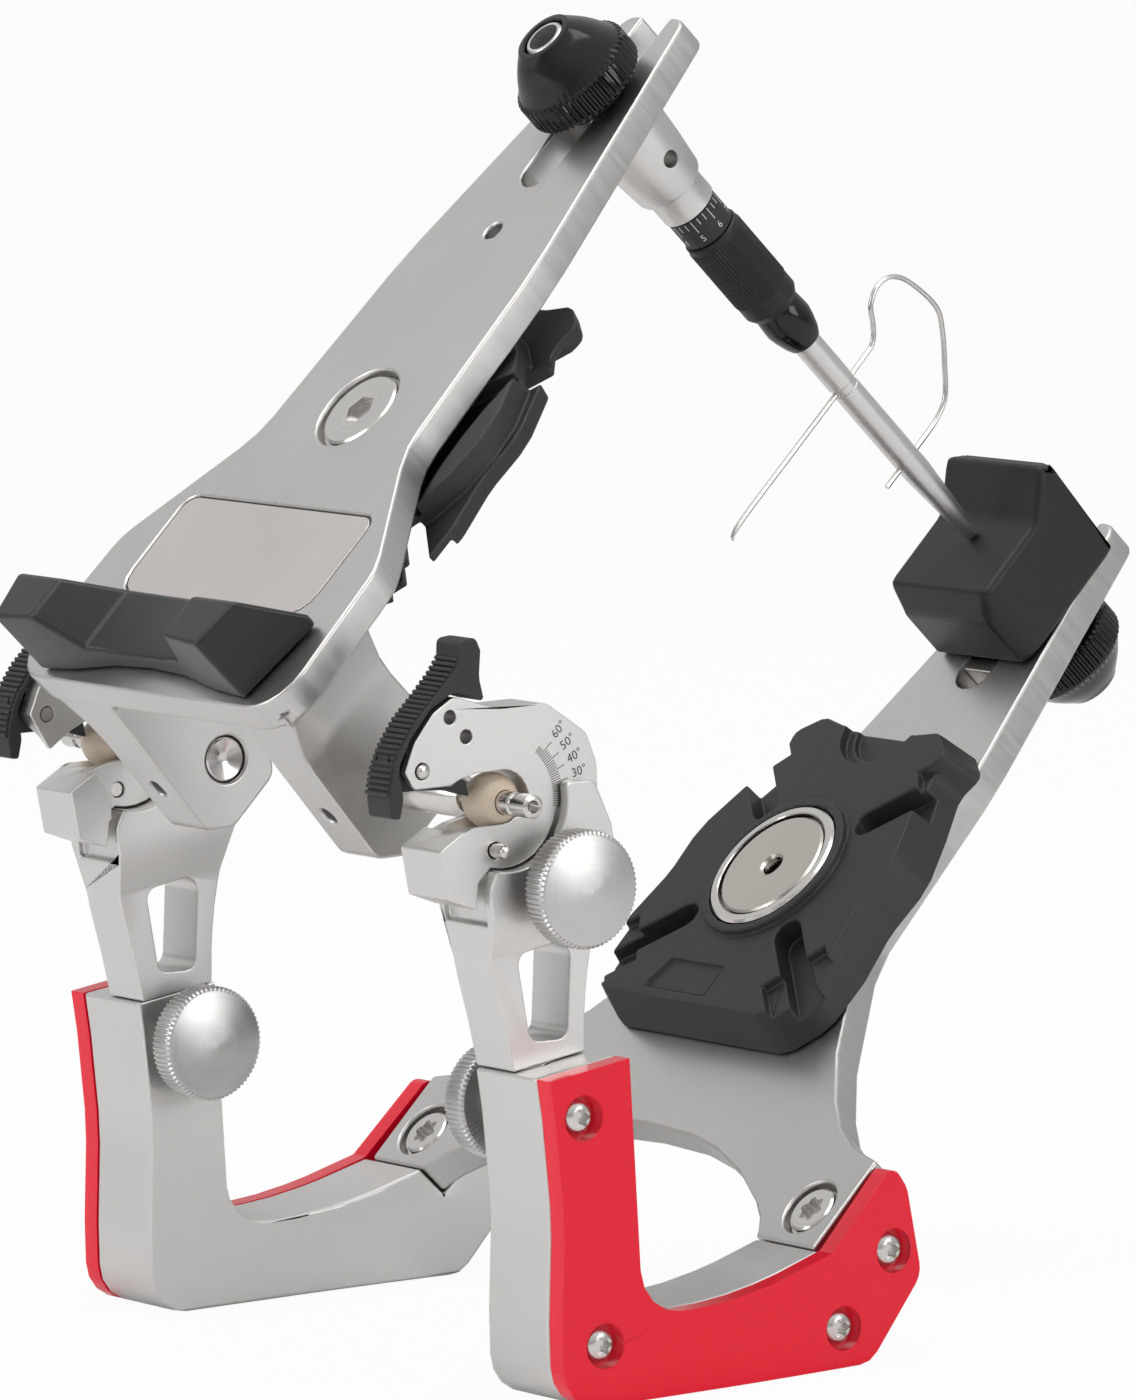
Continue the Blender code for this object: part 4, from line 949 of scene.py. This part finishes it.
# %% [markdown]
# The camera stands well back with a long lens, so that the arms keep their true proportions. It looks slightly
# down from the front right, and leans a degree and a half.

# %% Camera
AZIMUTH, ELEVATION, ROLL = math.radians(54.64), math.radians(6.72), math.radians(-1.39)
FROM_HINGE = (1.3987, -0.9381, 0.2086)
back = Vector(
    (math.sin(AZIMUTH) * math.cos(ELEVATION), -math.cos(AZIMUTH) * math.cos(ELEVATION), math.sin(ELEVATION))
)
level = Vector((math.cos(AZIMUTH), math.sin(AZIMUTH), 0))
upright = back.cross(level)
right = math.cos(ROLL) * level + math.sin(ROLL) * upright
upward = -math.sin(ROLL) * level + math.cos(ROLL) * upright
camera_data = bpy.data.cameras.new("camera")
camera_data.lens = 270.9
camera_data.sensor_width = 36
camera_data.clip_start = 0.05
camera = bpy.data.objects.new("camera", camera_data)
bpy.context.scene.collection.objects.link(camera)
aim = Matrix((right, upward, back)).transposed().to_4x4()
camera.matrix_world = Matrix.Translation(hinge + Vector(FROM_HINGE)) @ aim
bpy.context.scene.camera = camera
print("camera", [round(value, 3) for value in camera.matrix_world.translation])

# %% [markdown]
# Satin metal needs large soft lights, because it shows what is around it. A broad panel
# above, one on the left and a dimmer one on the right give the surfaces a gradient. The floor and the world are
# white to the camera, while the shadow stays. Reflections see a gradient instead, darker below and lighter above.


# %% Floor and world
def seen_directly(tree):
    """A value that is 1 for rays that come from the camera, straight or through something clear."""
    path = tree.nodes.new("ShaderNodeLightPath")
    either = tree.nodes.new("ShaderNodeMath")
    either.operation = "MAXIMUM"
    tree.links.new(path.outputs["Is Camera Ray"], either.inputs[0])
    tree.links.new(path.outputs["Is Transmission Ray"], either.inputs[1])
    return either.outputs[0], path


world = bpy.data.worlds.new("studio")
world.use_nodes = True
bpy.context.scene.world = world
tree = world.node_tree
tree.nodes.clear()
seen, path = seen_directly(tree)
mirror = tree.nodes.new("ShaderNodeBackground")
mirror.inputs["Color"].default_value = (1, 1, 1, 1)
heading = tree.nodes.new("ShaderNodeTexCoord")
heading_parts = tree.nodes.new("ShaderNodeSeparateXYZ")
slope = tree.nodes.new("ShaderNodeMapRange")
slope.interpolation_type = "SMOOTHSTEP"
slope.inputs["From Min"].default_value = -0.35
slope.inputs["From Max"].default_value = 0.85
slope.inputs["To Min"].default_value = 0.22
slope.inputs["To Max"].default_value = 0.8
tree.links.new(heading.outputs["Generated"], heading_parts.inputs[0])
tree.links.new(heading_parts.outputs["Z"], slope.inputs["Value"])
tree.links.new(slope.outputs[0], mirror.inputs["Strength"])
soft = tree.nodes.new("ShaderNodeBackground")
soft.inputs["Color"].default_value = (1, 1, 1, 1)
soft.inputs["Strength"].default_value = 0.42
white = tree.nodes.new("ShaderNodeBackground")
white.inputs["Color"].default_value = (1, 1, 1, 1)
white.inputs["Strength"].default_value = 1.0
first = tree.nodes.new("ShaderNodeMixShader")
second = tree.nodes.new("ShaderNodeMixShader")
target = tree.nodes.new("ShaderNodeOutputWorld")
tree.links.new(path.outputs["Is Glossy Ray"], first.inputs[0])
tree.links.new(soft.outputs[0], first.inputs[1])
tree.links.new(mirror.outputs[0], first.inputs[2])
tree.links.new(seen, second.inputs[0])
tree.links.new(first.outputs[0], second.inputs[1])
tree.links.new(white.outputs[0], second.inputs[2])
tree.links.new(second.outputs[0], target.inputs[0])

floor_mesh = bpy.data.meshes.new("floor")
shape = bmesh.new()
bmesh.ops.create_grid(shape, x_segments=1, y_segments=1, size=6)
shape.to_mesh(floor_mesh)
shape.free()
floor = bpy.data.objects.new("floor", floor_mesh)
floor.location.z = solid_box[0].z - 0.2 * MM
bpy.context.scene.collection.objects.link(floor)
paper = bpy.data.materials.new("white paper")
paper.use_nodes = True
tree = paper.node_tree
shader = tree.nodes["Principled BSDF"]
shader.inputs["Base Color"].default_value = (0.93, 0.93, 0.93, 1)
shader.inputs["Roughness"].default_value = 0.9
shader.inputs["Specular IOR Level"].default_value = 0.0
glow = tree.nodes.new("ShaderNodeEmission")
glow.inputs["Strength"].default_value = 1.0
blend = tree.nodes.new("ShaderNodeMixShader")
seen, path = seen_directly(tree)
share = tree.nodes.new("ShaderNodeMath")
share.operation = "MULTIPLY"
share.inputs[1].default_value = 0.94
tree.links.new(seen, share.inputs[0])
tree.links.new(share.outputs[0], blend.inputs[0])
tree.links.new(shader.outputs[0], blend.inputs[1])
tree.links.new(glow.outputs[0], blend.inputs[2])
tree.links.new(blend.outputs[0], tree.nodes["Material Output"].inputs["Surface"])
floor_mesh.materials.append(paper)


# %% Lamps
def panel(name, place, size, power):
    """A soft square light aimed at the articulator."""
    lamp = bpy.data.lights.new(name, "AREA")
    lamp.size = size
    lamp.energy = power
    holder = bpy.data.objects.new(name, lamp)
    bpy.context.scene.collection.objects.link(holder)
    holder.location = place
    aim = Vector((0, 0, 0.1)) - Vector(place)
    holder.rotation_euler = aim.to_track_quat("-Z", "Y").to_euler()
    return holder


panel("overhead panel", (0.1, -0.2, 1.3), 1.0, 7.5)
panel("left panel", (-0.3, -1.3, 0.6), 0.7, 5.5)
panel("right panel", (1.3, 0.5, 0.5), 0.6, 4)
bpy.context.scene.view_settings.view_transform = "Standard"
print("lamps:", [lamp.name for lamp in bpy.data.lights])

# %% [markdown]
# Last, the size of the solids is printed. The finished pieces should fill the same box, because the dressing must
# not change the size of the object.

# %% The size of the solids
print("solids ", [[round(value, 4) for value in corner] for corner in solid_box])
